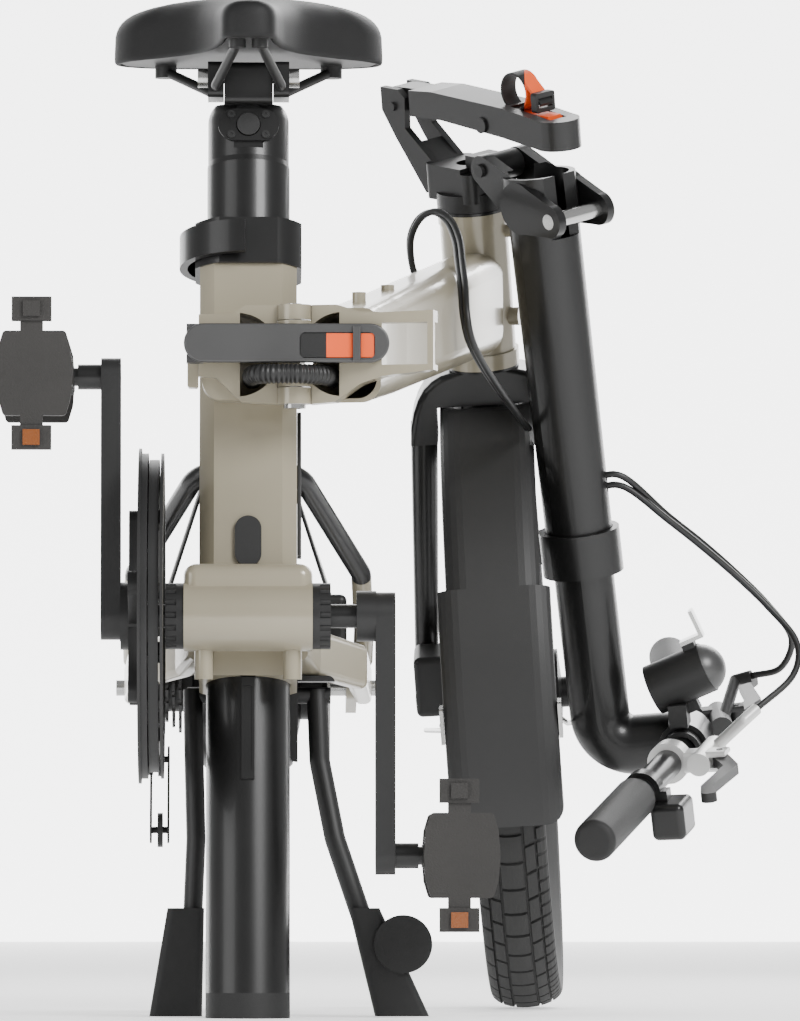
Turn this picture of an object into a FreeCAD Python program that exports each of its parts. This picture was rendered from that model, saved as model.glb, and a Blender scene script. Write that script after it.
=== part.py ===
import FreeCAD, Part
import math
import os

# Folding electric bicycle, stored folded.  Millimetres.
# +Z is up from the ground, the rear half points its nose along -Y and its left side along +X.
# The origin is on the ground, where the rear half's centre plane passes under the crank axle.

Vector = FreeCAD.Vector
Rotation = FreeCAD.Rotation
Placement = FreeCAD.Placement
ORIGIN = Vector(0, 0, 0)
X_AXIS = Vector(1, 0, 0)
Y_AXIS = Vector(0, 1, 0)
Z_AXIS = Vector(0, 0, 1)

# ---------------------------------------------------------------- driving dimensions
RUNNING_GAP = 0.5          # between pieces of different bodies
SHAFT_GAP = 0.08           # radial clearance of a pin in its hole

CRANK_HEIGHT = 285.0
CRANK_LENGTH = 170.0
WHEEL_RADIUS = 245.0       # 20-inch wheel, tread included
TYRE_HALF_WIDTH = 28.0
RIM_RADIUS = 209.0
REAR_AXLE_Y = 400.0

SEAT_TILT = 11.5           # seat tube leans back from the vertical
SEAT_TUBE_Y = 61.0         # seat tube axis at the height of the crank axle
SEAT_TUBE_WIDTH = 70.0
SEAT_BORE = 30.5
SEAT_TUBE_LOW = -49.0      # along the tube, from the crank axle's height
SEAT_TUBE_TOP = 260.0
POST_RADIUS = 30.0
POST_TOP = 336.0
HEAD_TOP = 389.0

HINGE_X = 33.0             # frame hinge axis, vertical
HINGE_Y = 20.0
HINGE_Z = 472.5
FOLD_ANGLE = 165.8
PLATE_LOW = 437.0
PLATE_HIGH = 508.0
PLATE_DEPTH = 14.0
KNUCKLE_RADIUS = 12.0
LATCH_X = -38.0
LATCH_Y = 12.0
LATCH_LOW = 465.6
LATCH_HIGH = 493.4

HEAD_TILT = 18.5           # steering axis leans back from the vertical
HEAD_FORWARD = 435.0       # head tube's top, ahead of the hinge axis
HEAD_HEIGHT = 613.0
HEAD_LENGTH = 122.0
FRONT_AXLE_FORWARD = 600.0
STEER_REST = 11.2          # the bars are turned this far when the bicycle is folded
BLADE_TOP_X = 49.0
BLADE_END_X = 63.0

POST_HINGE_TURN = 42.0     # handlepost hinge axis, measured in plan from the left side
POST_HINGE_OFFSET = 40.0
POST_HINGE_Z = 40.0        # above the head tube's top
POST_FOLD = 176.25
POST_LENGTH = 310.0        # clamp collar's height above the hinge
POST_EXTENSION = 455.0     # handlebar clamp's height above the hinge
STEM_EAR_OFFSET = 66.0
STEM_EAR_Z = 76.0
STEM_LATCH_LENGTH = 186.0

BAR_SWEEP = 9.0
BAR_HALF = 285.0
BAR_RADIUS = 11.0
GRIP_RADIUS = 16.0

STAND_PIVOT = Vector(0, 128, 232)


# ---------------------------------------------------------------- helpers
def block(x, y, z):
    return Part.makeBox(x[1] - x[0], y[1] - y[0], z[1] - z[0], Vector(x[0], y[0], z[0]))


def rod(start, end, radius):
    return Part.makeCylinder(radius, (end - start).Length, start, end - start)


def cone(start, end, start_radius, end_radius):
    return Part.makeCone(start_radius, end_radius, (end - start).Length, start, end - start)


def ring(start, end, outer, inner):
    reach = (end - start).normalize()
    return rod(start, end, outer).cut(rod(start - reach, end + reach, inner))


def fuse(*shapes):
    return shapes[0].multiFuse(list(shapes[1:])).removeSplitter()


def cut(shape, *tools):
    return shape.cut(list(tools))


def prism(points, reach):
    return Part.Face(Part.makePolygon(points + [points[0]])).extrude(reach)


def edges_along(shape, direction):
    found = []
    for edge in shape.Edges:
        if len(edge.Vertexes) == 2 and isinstance(edge.Curve, Part.Line):
            span = edge.Vertexes[1].Point - edge.Vertexes[0].Point
            if span.Length > 0.1 and abs(span.normalize().dot(direction)) > 0.999:
                found.append(edge)
    return found


def rounded(shape, radius, *directions):
    if not directions:
        return shape.makeFillet(radius, shape.Edges)
    for direction in directions:
        shape = shape.makeFillet(radius, edges_along(shape, direction))
    return shape


def revolved(outline, centre, axis, angle=360.0):
    """outline is a list of (radius, offset along the axis); the axis is X, at centre."""
    points = [centre + Vector(offset, radius, 0) for radius, offset in outline]
    return Part.Face(Part.makePolygon(points + [points[0]])).revolve(centre, axis, angle)


def bent_wire(points, bend):
    """Straight runs joined by tangent arcs. bend is one radius, or None for arcs as large as the runs allow."""
    edges = []
    here = points[0]
    for before, corner, after in zip(points, points[1:], points[2:]):
        into = (corner - before).normalize()
        out = (after - corner).normalize()
        turn = into.getAngle(out)
        radius = bend
        if bend is None:
            shorter = min((corner - before).Length, (after - corner).Length)
            radius = 0.45 * shorter / math.tan(turn / 2)
        reach = radius * math.tan(turn / 2)
        start = corner - into * reach
        end = corner + out * reach
        middle = corner + (out - into).normalize() * (radius / math.cos(turn / 2) - radius)
        edges.append(Part.LineSegment(here, start).toShape())
        edges.append(Part.Arc(start, middle, end).toShape())
        here = end
    edges.append(Part.LineSegment(here, points[-1]).toShape())
    return Part.Wire(edges)


def bent_tube(points, radius, bend=None):
    circle = Part.Circle(points[0], points[1] - points[0], radius).toShape()
    return bent_wire(points, bend).makePipeShell([Part.Wire([circle])], True, True)


def lofted(sections):
    return Part.makeLoft(sections, True, True)


def oval_section(centre, width, height, across, up, corner):
    """A closed wire: a rectangle with rounded corners, in the plane of across and up."""
    half_width = width / 2 - corner
    half_height = height / 2 - corner
    edges = []
    corners = ((1, 1), (-1, 1), (-1, -1), (1, -1))
    for index, (sign_x, sign_y) in enumerate(corners):
        middle = centre + across * (sign_x * half_width) + up * (sign_y * half_height)
        first = across * sign_x if index % 2 == 0 else up * sign_y
        last = up * sign_y if index % 2 == 0 else across * sign_x
        diagonal = (across * sign_x + up * sign_y).normalize()
        edges.append(Part.Arc(middle + first * corner, middle + diagonal * corner, middle + last * corner).toShape())
    joined = []
    for index, edge in enumerate(edges):
        following = edges[(index + 1) % 4]
        joined.append(edge)
        joined.append(Part.LineSegment(edge.Vertexes[-1].Point, following.Vertexes[0].Point).toShape())
    return Part.Wire(Part.__sortEdges__(joined))


def link(start, end, start_radius, end_radius, reach):
    """A flat bar between two round ends; reach is its thickness as a vector."""
    along = (end - start).normalize()
    side = along.cross(reach).normalize()
    web = prism([start + side * start_radius, end + side * end_radius,
                 end - side * end_radius, start - side * start_radius], reach)
    return fuse(web, rod(start, start + reach, start_radius), rod(end, end + reach, end_radius))


def around_x(centre, radius, angle):
    """A point round a centre in the YZ plane; 0 degrees is towards +Y, 90 is up."""
    turn = math.radians(angle)
    return centre + Vector(0, radius * math.cos(turn), radius * math.sin(turn))


# ---------------------------------------------------------------- frames of the moving halves
SEAT_FRAME = Placement(Vector(0, SEAT_TUBE_Y, CRANK_HEIGHT), Rotation(X_AXIS, -SEAT_TILT))
SEAT_DIRECTION = SEAT_FRAME.Rotation.multVec(Z_AXIS)
CRANK_CENTRE = Vector(0, 0, CRANK_HEIGHT)
REAR_AXLE = Vector(0, REAR_AXLE_Y, WHEEL_RADIUS)
CRANK_CENTRE_IN_SEAT = SEAT_FRAME.inverse().multVec(CRANK_CENTRE)

HINGE_POINT = Vector(HINGE_X, HINGE_Y, HINGE_Z)
FOLD = Placement(ORIGIN, Rotation(Z_AXIS, FOLD_ANGLE), HINGE_POINT)

HEAD_TOP_POINT = Vector(0, HINGE_Y - HEAD_FORWARD, HEAD_HEIGHT)
STEER_FRAME = Placement(HEAD_TOP_POINT, Rotation(X_AXIS, -HEAD_TILT))
FORK_PLACE = FOLD * STEER_FRAME * Placement(ORIGIN, Rotation(Z_AXIS, STEER_REST))
FRONT_AXLE = STEER_FRAME.inverse().multVec(Vector(0, HINGE_Y - FRONT_AXLE_FORWARD, WHEEL_RADIUS))
STEER_POINT = FORK_PLACE.multVec(ORIGIN)
STEER_DIRECTION = FORK_PLACE.Rotation.multVec(Z_AXIS)
FRONT_AXLE_POINT = FORK_PLACE.multVec(FRONT_AXLE)
FRONT_AXLE_DIRECTION = FORK_PLACE.Rotation.multVec(X_AXIS)

_turn = math.radians(POST_HINGE_TURN)
HINGE_ALONG = Vector(math.cos(_turn), math.sin(_turn), 0)       # handlepost hinge axis, steering frame
HINGE_ACROSS = Vector(-math.sin(_turn), math.cos(_turn), 0)     # from the steering axis to that hinge
POST_HINGE = HINGE_ACROSS * POST_HINGE_OFFSET + Z_AXIS * POST_HINGE_Z
POST_PLACE = FORK_PLACE * Placement(ORIGIN, Rotation(HINGE_ALONG, -POST_FOLD), POST_HINGE)
STEM_EAR = Z_AXIS * STEM_EAR_Z - HINGE_ACROSS * STEM_EAR_OFFSET
POST_HINGE_POINT = FORK_PLACE.multVec(POST_HINGE)
POST_HINGE_DIRECTION = FORK_PLACE.Rotation.multVec(HINGE_ALONG)
STEM_EAR_POINT = FORK_PLACE.multVec(STEM_EAR)
POST_DIRECTION = POST_PLACE.Rotation.multVec(Z_AXIS)


def placed(shape, placement):
    return shape.transformed(placement.toMatrix(), True)


def on_seat_tube(shape):
    return placed(shape, SEAT_FRAME)


def on_front_frame(shape):
    return placed(shape, FOLD)


def on_fork(shape):
    return placed(shape, FORK_PLACE)


def on_post(shape):
    return placed(shape, POST_PLACE)


# ---------------------------------------------------------------- rear frame
def seat_tube_outside(low=SEAT_TUBE_LOW, high=SEAT_TUBE_TOP):
    half = SEAT_TUBE_WIDTH / 2
    body = block((-half, half), (-33.5, 36.5), (low, high))
    return body.common(rod(Vector(0, 0, low), Vector(0, 0, high), 41.5))


def seat_tube():
    bore = rod(Vector(0, 0, SEAT_TUBE_LOW - 5), Vector(0, 0, SEAT_TUBE_TOP + 5), SEAT_BORE)
    keyway = block((-5.5, 5.5), (-32.2, -20), (SEAT_TUBE_LOW - 5, SEAT_TUBE_TOP + 5))
    slit = block((-1.5, 1.5), (20, 45), (SEAT_TUBE_TOP - 40, SEAT_TUBE_TOP + 1))
    cap_seat = rod(Vector(0, -40, 49), Vector(0, -32.6, 49), 8)
    return on_seat_tube(cut(seat_tube_outside(), bore, keyway, slit, cap_seat))


def bottom_bracket_shell():
    reach = 45.7
    barrel = rod(Vector(-reach, 0, CRANK_HEIGHT), Vector(reach, 0, CRANK_HEIGHT), 25)
    web = rounded(block((-reach, reach), (-14, 48), (CRANK_HEIGHT - 22, CRANK_HEIGHT + 37)), 9, X_AXIS, Y_AXIS)
    shell = fuse(barrel, web)
    for side in (-1, 1):
        foot = Vector(side * 31.5, 0, CRANK_HEIGHT - 45)
        shell = fuse(shell, rod(foot, foot + Z_AXIS * 25, 6.7))
        shell = cut(shell, rod(foot - Z_AXIS, foot + Z_AXIS * 14, 2.5))
    bore = rod(Vector(-60, 0, CRANK_HEIGHT), Vector(60, 0, CRANK_HEIGHT), 20)
    pocket = link(Vector(0, -66, 36), Vector(0, -66, 60), 11.5, 11.5, Y_AXIS * 40)
    return cut(shell, bore, on_seat_tube(seat_tube_outside(-80, 300)), on_seat_tube(pocket))


def rear_plate_outline():
    middle = HINGE_Z
    return [Vector(-35.5, 0, middle - 15.5), Vector(-35.5, 0, middle + 29), Vector(-12, 0, middle + 29),
            Vector(-2, 0, PLATE_HIGH), Vector(HINGE_X - 10, 0, PLATE_HIGH), Vector(HINGE_X - 10, 0, PLATE_LOW),
            Vector(-5, 0, PLATE_LOW + 1.5), Vector(-23, 0, middle - 16.5)]


def knuckle(low, high, radius=KNUCKLE_RADIUS):
    return rod(Vector(HINGE_X, HINGE_Y, low), Vector(HINGE_X, HINGE_Y, high), radius)


KNUCKLE_LOW = PLATE_LOW + 12
KNUCKLE_HIGH = PLATE_HIGH - 11


def rear_hinge():
    face = HINGE_Y + 0.3
    plate = prism([p + Y_AXIS * face for p in rear_plate_outline()], Y_AXIS * PLATE_DEPTH)
    stub = rounded(block((-33, 24), (face + 8, 90), (HINGE_Z - 32, HINGE_Z + 31)), 14, Y_AXIS)
    lug_low = LATCH_LOW + 6.4
    lug_high = LATCH_HIGH - 6.4
    lug = fuse(block((LATCH_X - 5.5, LATCH_X + 5.5), (LATCH_Y, face + 12), (lug_low, lug_high)),
               rod(Vector(LATCH_X, LATCH_Y, lug_low), Vector(LATCH_X, LATCH_Y, lug_high), 5.5),
               block((LATCH_X - 5.5, -25), (face + 1, face + 12), (lug_low, lug_high)))
    body = fuse(plate, stub, lug, knuckle(KNUCKLE_HIGH, PLATE_HIGH), knuckle(PLATE_LOW, KNUCKLE_LOW))
    mouth = rod(Vector(-8, 0, HINGE_Z), Vector(-8, 64, HINGE_Z), 30).common(block((-6, 30), (0, 64), (430, 515)))
    pin_hole = rod(Vector(HINGE_X, HINGE_Y, 400), Vector(HINGE_X, HINGE_Y, 540), 5 + SHAFT_GAP)
    latch_hole = rod(Vector(LATCH_X, LATCH_Y, 400), Vector(LATCH_X, LATCH_Y, 540), 4)
    room = knuckle(KNUCKLE_LOW - 0.3, KNUCKLE_HIGH + 0.3, KNUCKLE_RADIUS + RUNNING_GAP)
    return cut(body, mouth, pin_hole, latch_hole, room, on_seat_tube(seat_tube_outside(0, 300)))


def hinge_pin():
    low = Vector(HINGE_X, HINGE_Y, PLATE_LOW - 3)
    return fuse(rod(low, Vector(HINGE_X, HINGE_Y, PLATE_HIGH + 1), 5), rod(low, low + Z_AXIS * 3, 8))


def latch_pin():
    low = Vector(LATCH_X, LATCH_Y, LATCH_LOW + 0.4)
    return rod(low, Vector(LATCH_X, LATCH_Y, LATCH_HIGH - 0.4), 4 - SHAFT_GAP)


def latch_boss():
    low = Vector(LATCH_X - 1.4, HINGE_Y + 12, 449)
    return rounded(block((LATCH_X - 5.5, -35.6), (HINGE_Y + 3, HINGE_Y + 20), (low.z, low.z + 23)), 2, Y_AXIS)


STAY_CENTRE = 87.0


def chain_stay(side):
    height = (36, 34, 32, 30)
    width = (18, 16, 15, 13)
    spine = [Vector(side * 33, 44, 274), Vector(side * 45, 122, 263),
             Vector(side * 80, 196, 255), Vector(side * STAY_CENTRE, 372, 247)]
    parts = []
    for index in range(3):
        start, end = spine[index], spine[index + 1]
        along = (end - start).normalize()
        across = along.cross(Z_AXIS).normalize()
        up = across.cross(along)
        parts.append(lofted([oval_section(start, width[index], height[index], across, up, 5),
                             oval_section(end, width[index + 1], height[index + 1], across, up, 5)]))
        if index < 2:
            parts.append(Part.makeSphere(width[index + 1] / 2, end))
    return fuse(*parts)


def dropout(side):
    inner = side * (STAY_CENTRE - 13)
    plate = link(Vector(inner, REAR_AXLE_Y - 36, 252), Vector(inner, REAR_AXLE_Y + 2, WHEEL_RADIUS), 17, 19, X_AXIS * (side * 8))
    return plate


def chain_stays():
    stays = []
    for side in (-1, 1):
        stay = fuse(chain_stay(side), dropout(side))
        axle_hole = rod(Vector(-150, REAR_AXLE_Y, WHEEL_RADIUS), Vector(150, REAR_AXLE_Y, WHEEL_RADIUS), 6.1)
        shell = block((-45.8, 45.8), (-14, 48.2), (250, 330))
        stays.append(cut(stay, axle_hole, shell, on_seat_tube(seat_tube_outside(-80, 300))))
    return Part.Compound(stays)


def seat_stays():
    stays = []
    for side in (-1, 1):
        spine = [Vector(side * 12, 128, 398), Vector(side * 38, 134, 392), Vector(side * 84, 262, 326),
                 Vector(side * STAY_CENTRE, 330, 288), Vector(side * STAY_CENTRE, 384, 266)]
        stays.append(bent_tube(spine, 7.5, 24))
    bridge = rod(Vector(-14, 129, 398), Vector(14, 129, 398), 10)
    frame = fuse(bridge, *stays)
    return cut(frame, on_seat_tube(seat_tube_outside(0, 300)), chain_stays())


def seat_collar():
    low = SEAT_TUBE_TOP - 4
    outer = rod(Vector(0, 0, low), Vector(0, 0, low + 34), 43)
    body = outer.common(block((-38.5, 38.5), (-37.5, 41), (low, low + 34)))
    ears = block((-11, 11), (36, 52), (low + 4, low + 30))
    seat = seat_tube_outside()
    bore = rod(Vector(0, 0, low - 1), Vector(0, 0, low + 50), SEAT_BORE + 0.3)
    slit = block((-1.5, 1.5), (20, 60), (low - 1, low + 40))
    keyway = block((-5.5, 5.5), (-32.2, -20), (low - 1, low + 40))
    screw = rod(Vector(-30, 46, low + 17), Vector(30, 46, low + 17), 3.1)
    return on_seat_tube(cut(fuse(body, ears), seat, bore, slit, keyway, screw))


SEAT_LEVER_PIVOT = Vector(-17, 46, SEAT_TUBE_TOP + 13)


def seat_clamp_screw():
    middle = SEAT_TUBE_TOP + 13
    shaft = rod(Vector(-11, 46, middle), Vector(15, 46, middle), 3)
    nut = rod(Vector(11, 46, middle), Vector(17, 46, middle), 6)
    fork_end = ring(Vector(-17, 46, middle - 4), Vector(-17, 46, middle + 4), 6, 3)
    return on_seat_tube(fuse(shaft, nut, cut(fork_end, rod(Vector(-17, 46, middle), Vector(0, 46, middle), 0.5))))


def seat_clamp_lever():
    low = SEAT_TUBE_TOP + 1
    outer = rod(Vector(0, 0, low), Vector(0, 0, low + 24), 50)
    shell = cut(outer, rod(Vector(0, 0, low - 1), Vector(0, 0, low + 30), 44.2))
    sweep = prism([Vector(0, 0, low), Vector(-4, -80, low), Vector(-90, -60, low), Vector(-90, 60, low),
                   Vector(-32, 60, low)], Z_AXIS * 24)
    blade = shell.common(sweep)
    cam = fuse(block((-34, -20), (39.5, 46), (low, low + 24)),
               block((-28, -17), (41, 51), (low, low + 24)),
               rod(Vector(-17, 46, low), Vector(-17, 46, low + 24), 6))
    slot = block((-24.5, -10), (38, 54), (low + 7.5, low + 16.5))
    cross = rod(Vector(-17, 46, low + 2), Vector(-17, 46, low + 22), 3 - SHAFT_GAP)
    keep_out = rod(Vector(0, 0, low - 1), Vector(0, 0, low + 30), 43.6)
    return on_seat_tube(fuse(cut(fuse(blade, cam), slot, keep_out), cross))


def bottom_bracket_cups():
    cups = []
    for side in (-1, 1):
        face = Vector(side * 45.8, 0, CRANK_HEIGHT)
        end = face + X_AXIS * (side * 12.8)
        cup = ring(face, end, 23.5, 8.6)
        skirt = ring(face - X_AXIS * (side * 14), face, 19.9, 8.6)
        cup = fuse(cup, skirt)
        for index in range(16):
            turn = math.radians(index * 22.5)
            notch = Vector(side * 51, 24.3 * math.cos(turn), CRANK_HEIGHT + 24.3 * math.sin(turn))
            cup = cut(cup, rod(notch, notch + X_AXIS * (side * 12), 2.4))
        cups.append(cup)
    return Part.Compound(cups)


def tube_cap():
    middle = Vector(0, 0, 49)
    face = link(middle - Z_AXIS * 9 - Y_AXIS * 37, middle + Z_AXIS * 9 - Y_AXIS * 37, 9.5, 9.5, Y_AXIS * 3.4)
    stem = rod(middle - Y_AXIS * 34, middle - Y_AXIS * 32.7, 7.5)
    return on_seat_tube(fuse(face, stem))


def cable_guide():
    strips = []
    for offset in (0, 4):
        strips.append(rounded(block((35.2, 38.2), (-14 + offset * 2, -10 + offset * 2), (44, 150)), 1, Z_AXIS))
    return on_seat_tube(Part.Compound(strips))


SLEEVE_ROUTE = [Vector(3, 52, 457.3), Vector(3, -4, 457.3), Vector(52, -4, 457.3), Vector(59.5, 32, 457.3)]


def cable_sleeve():
    return bent_tube(SLEEVE_ROUTE, 7.3, 15)


def rear_stay_envelope(side):
    return fuse(chain_stay(side), dropout(side))


def rear_fender():
    centre = REAR_AXLE
    section = [(252, -34), (255, -34), (262, -22), (262, 22), (255, 34), (252, 34), (259, 20), (259, -20)]
    start, sweep = 20.0, 150.0
    band = revolved(section, centre, X_AXIS, sweep)
    band.rotate(centre, X_AXIS, start)
    stays = []
    for side in (-1, 1):
        foot = Vector(side * 78.5, REAR_AXLE_Y + 20, WHEEL_RADIUS + 20)
        stays.append(rod(foot, around_x(centre, 252, 40) + X_AXIS * (side * 36.5), 2))
        stays.append(cut(rod(foot - X_AXIS * (side * 4), foot + X_AXIS * (side * 3), 4), rear_stay_envelope(side)))
    return Part.Compound([band] + stays)


def rear_caliper():
    body = rounded(block((48, 74), (REAR_AXLE_Y - 86, REAR_AXLE_Y - 44), (WHEEL_RADIUS + 24, WHEEL_RADIUS + 68)), 5)
    slot = rod(REAR_AXLE + X_AXIS * 58.4, REAR_AXLE + X_AXIS * 63.2, 82)
    ear = block((66, 73.6), (REAR_AXLE_Y - 52, REAR_AXLE_Y - 30), (WHEEL_RADIUS + 14, WHEEL_RADIUS + 40))
    return cut(fuse(body, ear), slot)


def derailleur():
    top = Vector(-72, REAR_AXLE_Y + 10, WHEEL_RADIUS - 54)
    low = Vector(-72, REAR_AXLE_Y - 16, WHEEL_RADIUS - 108)
    mount = link(Vector(-73.6, REAR_AXLE_Y + 6, WHEEL_RADIUS - 14), top, 9, 12, X_AXIS * -8)
    plates = [link(top + X_AXIS * shift, low + X_AXIS * shift, 10, 10, X_AXIS * 1.6) for shift in (-2.2, 11)]
    axles = [rod(p - X_AXIS * 2, p + X_AXIS * 12.6, 2.5) for p in (top, low)]
    return cut(fuse(mount, *plates, *axles), rear_stay_envelope(-1))


def derailleur_pulleys():
    top = Vector(-66.3, REAR_AXLE_Y + 10, WHEEL_RADIUS - 54)
    low = Vector(-66.3, REAR_AXLE_Y - 16, WHEEL_RADIUS - 108)
    wheels = [ring(p - X_AXIS * 2, p + X_AXIS * 2, 13, 2.6) for p in (top, low)]
    return Part.Compound(wheels)


CHAIN_X = -66.3
COG_RADIUS = 30.0
CHAIN_RING_RADIUS = 106.0


def chain():
    front = Vector(CHAIN_X, 0, CRANK_HEIGHT)
    rear = Vector(CHAIN_X, REAR_AXLE_Y, WHEEL_RADIUS)
    reach = X_AXIS * 7
    outer = link(front - X_AXIS * 3.5, rear - X_AXIS * 3.5, CHAIN_RING_RADIUS + 5, COG_RADIUS + 5, reach)
    inner = link(front - X_AXIS * 4.5, rear - X_AXIS * 4.5, CHAIN_RING_RADIUS - 3, COG_RADIUS - 3, X_AXIS * 9)
    return outer.cut(inner)


def stand_bracket():
    channel = rounded(block((-30, 30), (98, 146), (218, 252)), 4, X_AXIS)
    side = rounded(block((30, 63), (112, 146), (184, 246)), 5, Y_AXIS)
    saddle = rod(Vector(-40, BRIDGE_POINT.y, BRIDGE_POINT.z), Vector(40, BRIDGE_POINT.y, BRIDGE_POINT.z), 9)
    hollow = block((-27, 27), (92, 150), (210, 248))
    leg_room = block((36, 64), (108, 150), (180, 242))
    barrel_room = rod(STAND_PIVOT - X_AXIS * 46, STAND_PIVOT + X_AXIS * 70, 6 + SHAFT_GAP)
    return cut(fuse(channel, side), saddle, hollow, leg_room, barrel_room, chain_stays())


BRIDGE_POINT = Vector(0, 122, 260)


def stay_bridge():
    return cut(rod(BRIDGE_POINT - X_AXIS * 44, BRIDGE_POINT + X_AXIS * 44, 9), chain_stays())


def stand_legs():
    barrel = rod(STAND_PIVOT - X_AXIS * 44, STAND_PIVOT + X_AXIS * 60, 6)
    right = bent_tube([Vector(50, 128, 236), Vector(52, 122, 184), Vector(63, 114, 128), Vector(84, 110, 66)], 7.5, 30)
    left = bent_tube([Vector(-40, 128, 236), Vector(-39, 122, 184), Vector(-37.5, 114, 128), Vector(-40, 110, 66)], 7, 30)
    return fuse(barrel, right, left)


def stand_feet():
    feet = []
    for low_x, high_x in (((92, 131), (73, 95)), ((-71, -33), (-58, -31.5))):
        wires = []
        for (x0, x1), z in ((low_x, 0), (high_x, 78)):
            middle = Vector((x0 + x1) / 2, 111, z)
            wires.append(oval_section(middle, x1 - x0, 30, X_AXIS, Y_AXIS, 5))
        feet.append(cut(lofted(wires), stand_legs()))
    tab = rod(Vector(112, 92, 52), Vector(112, 97, 52), 21)
    return Part.Compound([fuse(feet[0], tab), feet[1]])


def rear_axle():
    shaft = rod(REAR_AXLE - X_AXIS * 100, REAR_AXLE + X_AXIS * 100, 6)
    nuts = [cone(REAR_AXLE + X_AXIS * side * 82.1, REAR_AXLE + X_AXIS * side * 93, 11, 9) for side in (-1, 1)]
    return fuse(shaft, *nuts)


# ---------------------------------------------------------------- seat
def seatpost_tube():
    low = -300
    tube = rod(Vector(0, 0, low), Vector(0, 0, POST_TOP), POST_RADIUS)
    bore = rod(Vector(0, 0, low - 1), Vector(0, 0, POST_TOP + 1), POST_RADIUS - 2.5)
    rail = block((-4.6, 4.6), (-31.4, -27), (-124, -50))
    ground = block((-60, 60), (-60, 60), (-40, 18))
    groove = block((-2.8, 2.8), (-32, -30.6), (-118, -56))
    return placed(cut(fuse(tube, rail), bore, groove), SEAT_FRAME).cut(ground)


def seatpost_foot():
    low = rod(Vector(0, 0, -305), Vector(0, 0, -255), POST_RADIUS)
    foot = placed(low, SEAT_FRAME).common(block((-60, 60), (-60, 70), (0, 18)))
    plug = placed(rod(Vector(0, 0, -280), Vector(0, 0, -256), POST_RADIUS - 2.6), SEAT_FRAME)
    return fuse(foot, plug.common(block((-60, 60), (-60, 70), (12, 40))))


def battery_pack():
    return on_seat_tube(rod(Vector(0, 0, -240), Vector(0, 0, POST_TOP - 20), POST_RADIUS - 3.5))


def post_head():
    low = POST_TOP
    body = cone(Vector(0, 0, low), Vector(0, 0, low + 4), POST_RADIUS, POST_RADIUS - 0.6)
    upper = rod(Vector(0, 0, low + 4), Vector(0, 0, HEAD_TOP), POST_RADIUS - 0.6)
    body = fuse(body, upper)
    body = body.makeFillet(18, [e for e in body.Edges if e.BoundBox.ZMin > HEAD_TOP - 0.1])
    spigot = rod(Vector(0, 0, low - 18), Vector(0, 0, low), POST_RADIUS - 2.6)
    flat = block((-24, 24), (-40, -27.4), (low + 9, HEAD_TOP - 8))
    neck = block((-17.6, 17.6), (-17, 19), (HEAD_TOP - 6, HEAD_TOP + 14))
    pocket = rod(Vector(0, -40, low + 26), Vector(0, -20, low + 26), 8.8)
    plate_room = [block(sorted_pair(side * 17.7, side * 34), (90, 148), (661.5, 700)) for side in (-1, 1)]
    hole = rod(SADDLE_PIVOT - X_AXIS * 40, SADDLE_PIVOT + X_AXIS * 40, 4 + SHAFT_GAP)
    return cut(on_seat_tube(cut(fuse(body, spigot, neck), flat, pocket)), hole, *plate_room)


PANEL_Z = POST_TOP + 26


def post_panel():
    face = link(Vector(-10, -30.2, PANEL_Z), Vector(10, -30.2, PANEL_Z), 12, 12, Y_AXIS * 2.8)
    holes = [rod(Vector(0, -40, PANEL_Z), Vector(0, 0, PANEL_Z), 8.8)]
    for x, z in PANEL_SCREWS:
        holes.append(rod(Vector(x, -40, z), Vector(x, 0, z), 1.8))
    return on_seat_tube(cut(face, *holes))


PANEL_SCREWS = [(x, PANEL_Z + z) for x in (-12.5, 12.5) for z in (-7.6, 7.6)]


def panel_screws():
    screws = []
    for x, z in PANEL_SCREWS:
        head = rod(Vector(x, -31.2, z), Vector(x, -30.2, z), 2.9)
        shank = rod(Vector(x, -30.2, z), Vector(x, -27.5, z), 1.7)
        screws.append(cut(fuse(head, shank), rod(Vector(x, -31.3, z), Vector(x, -30.6, z), 1.2)))
    return on_seat_tube(Part.Compound(screws))


def power_button():
    cap = rod(Vector(0, -31.6, PANEL_Z), Vector(0, -22.5, PANEL_Z), 8.3)
    return on_seat_tube(cap.makeFillet(1.2, [cap.Edges[0], cap.Edges[2]][:1]))


SADDLE_PIVOT = Vector(0, 118, 680.8)
RAIL_X = 23.5


def saddle_clamp():
    upper = rounded(block((-17.5, 17.5), (100, 140), (660, 691)), 5, X_AXIS)
    hole = rod(SADDLE_PIVOT - X_AXIS * 40, SADDLE_PIVOT + X_AXIS * 40, 4 + SHAFT_GAP)
    return cut(upper, hole, post_head())


def saddle_clamp_plates():
    plates = []
    for side in (-1, 1):
        plate = rounded(block((18.0, 29.5), (96, 142), (665, 691)), 4, X_AXIS)
        rail_groove = rod(Vector(RAIL_X, 80, 672.5), Vector(RAIL_X, 160, 672.5), 3.6)
        bolt_hole = rod(SADDLE_PIVOT, SADDLE_PIVOT + X_AXIS * 40, 4)
        plate = cut(plate, rail_groove, bolt_hole)
        plates.append(plate if side == 1 else plate.mirror(ORIGIN, X_AXIS))
    return Part.Compound(plates)


def saddle_bolt():
    shaft = rod(SADDLE_PIVOT - X_AXIS * 30, SADDLE_PIVOT + X_AXIS * 30, 4 - 0.02)
    heads = [ring(SADDLE_PIVOT + X_AXIS * side * 29.6, SADDLE_PIVOT + X_AXIS * side * 37, 7, 3) for side in (-1, 1)]
    return fuse(shaft, *heads)


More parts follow.
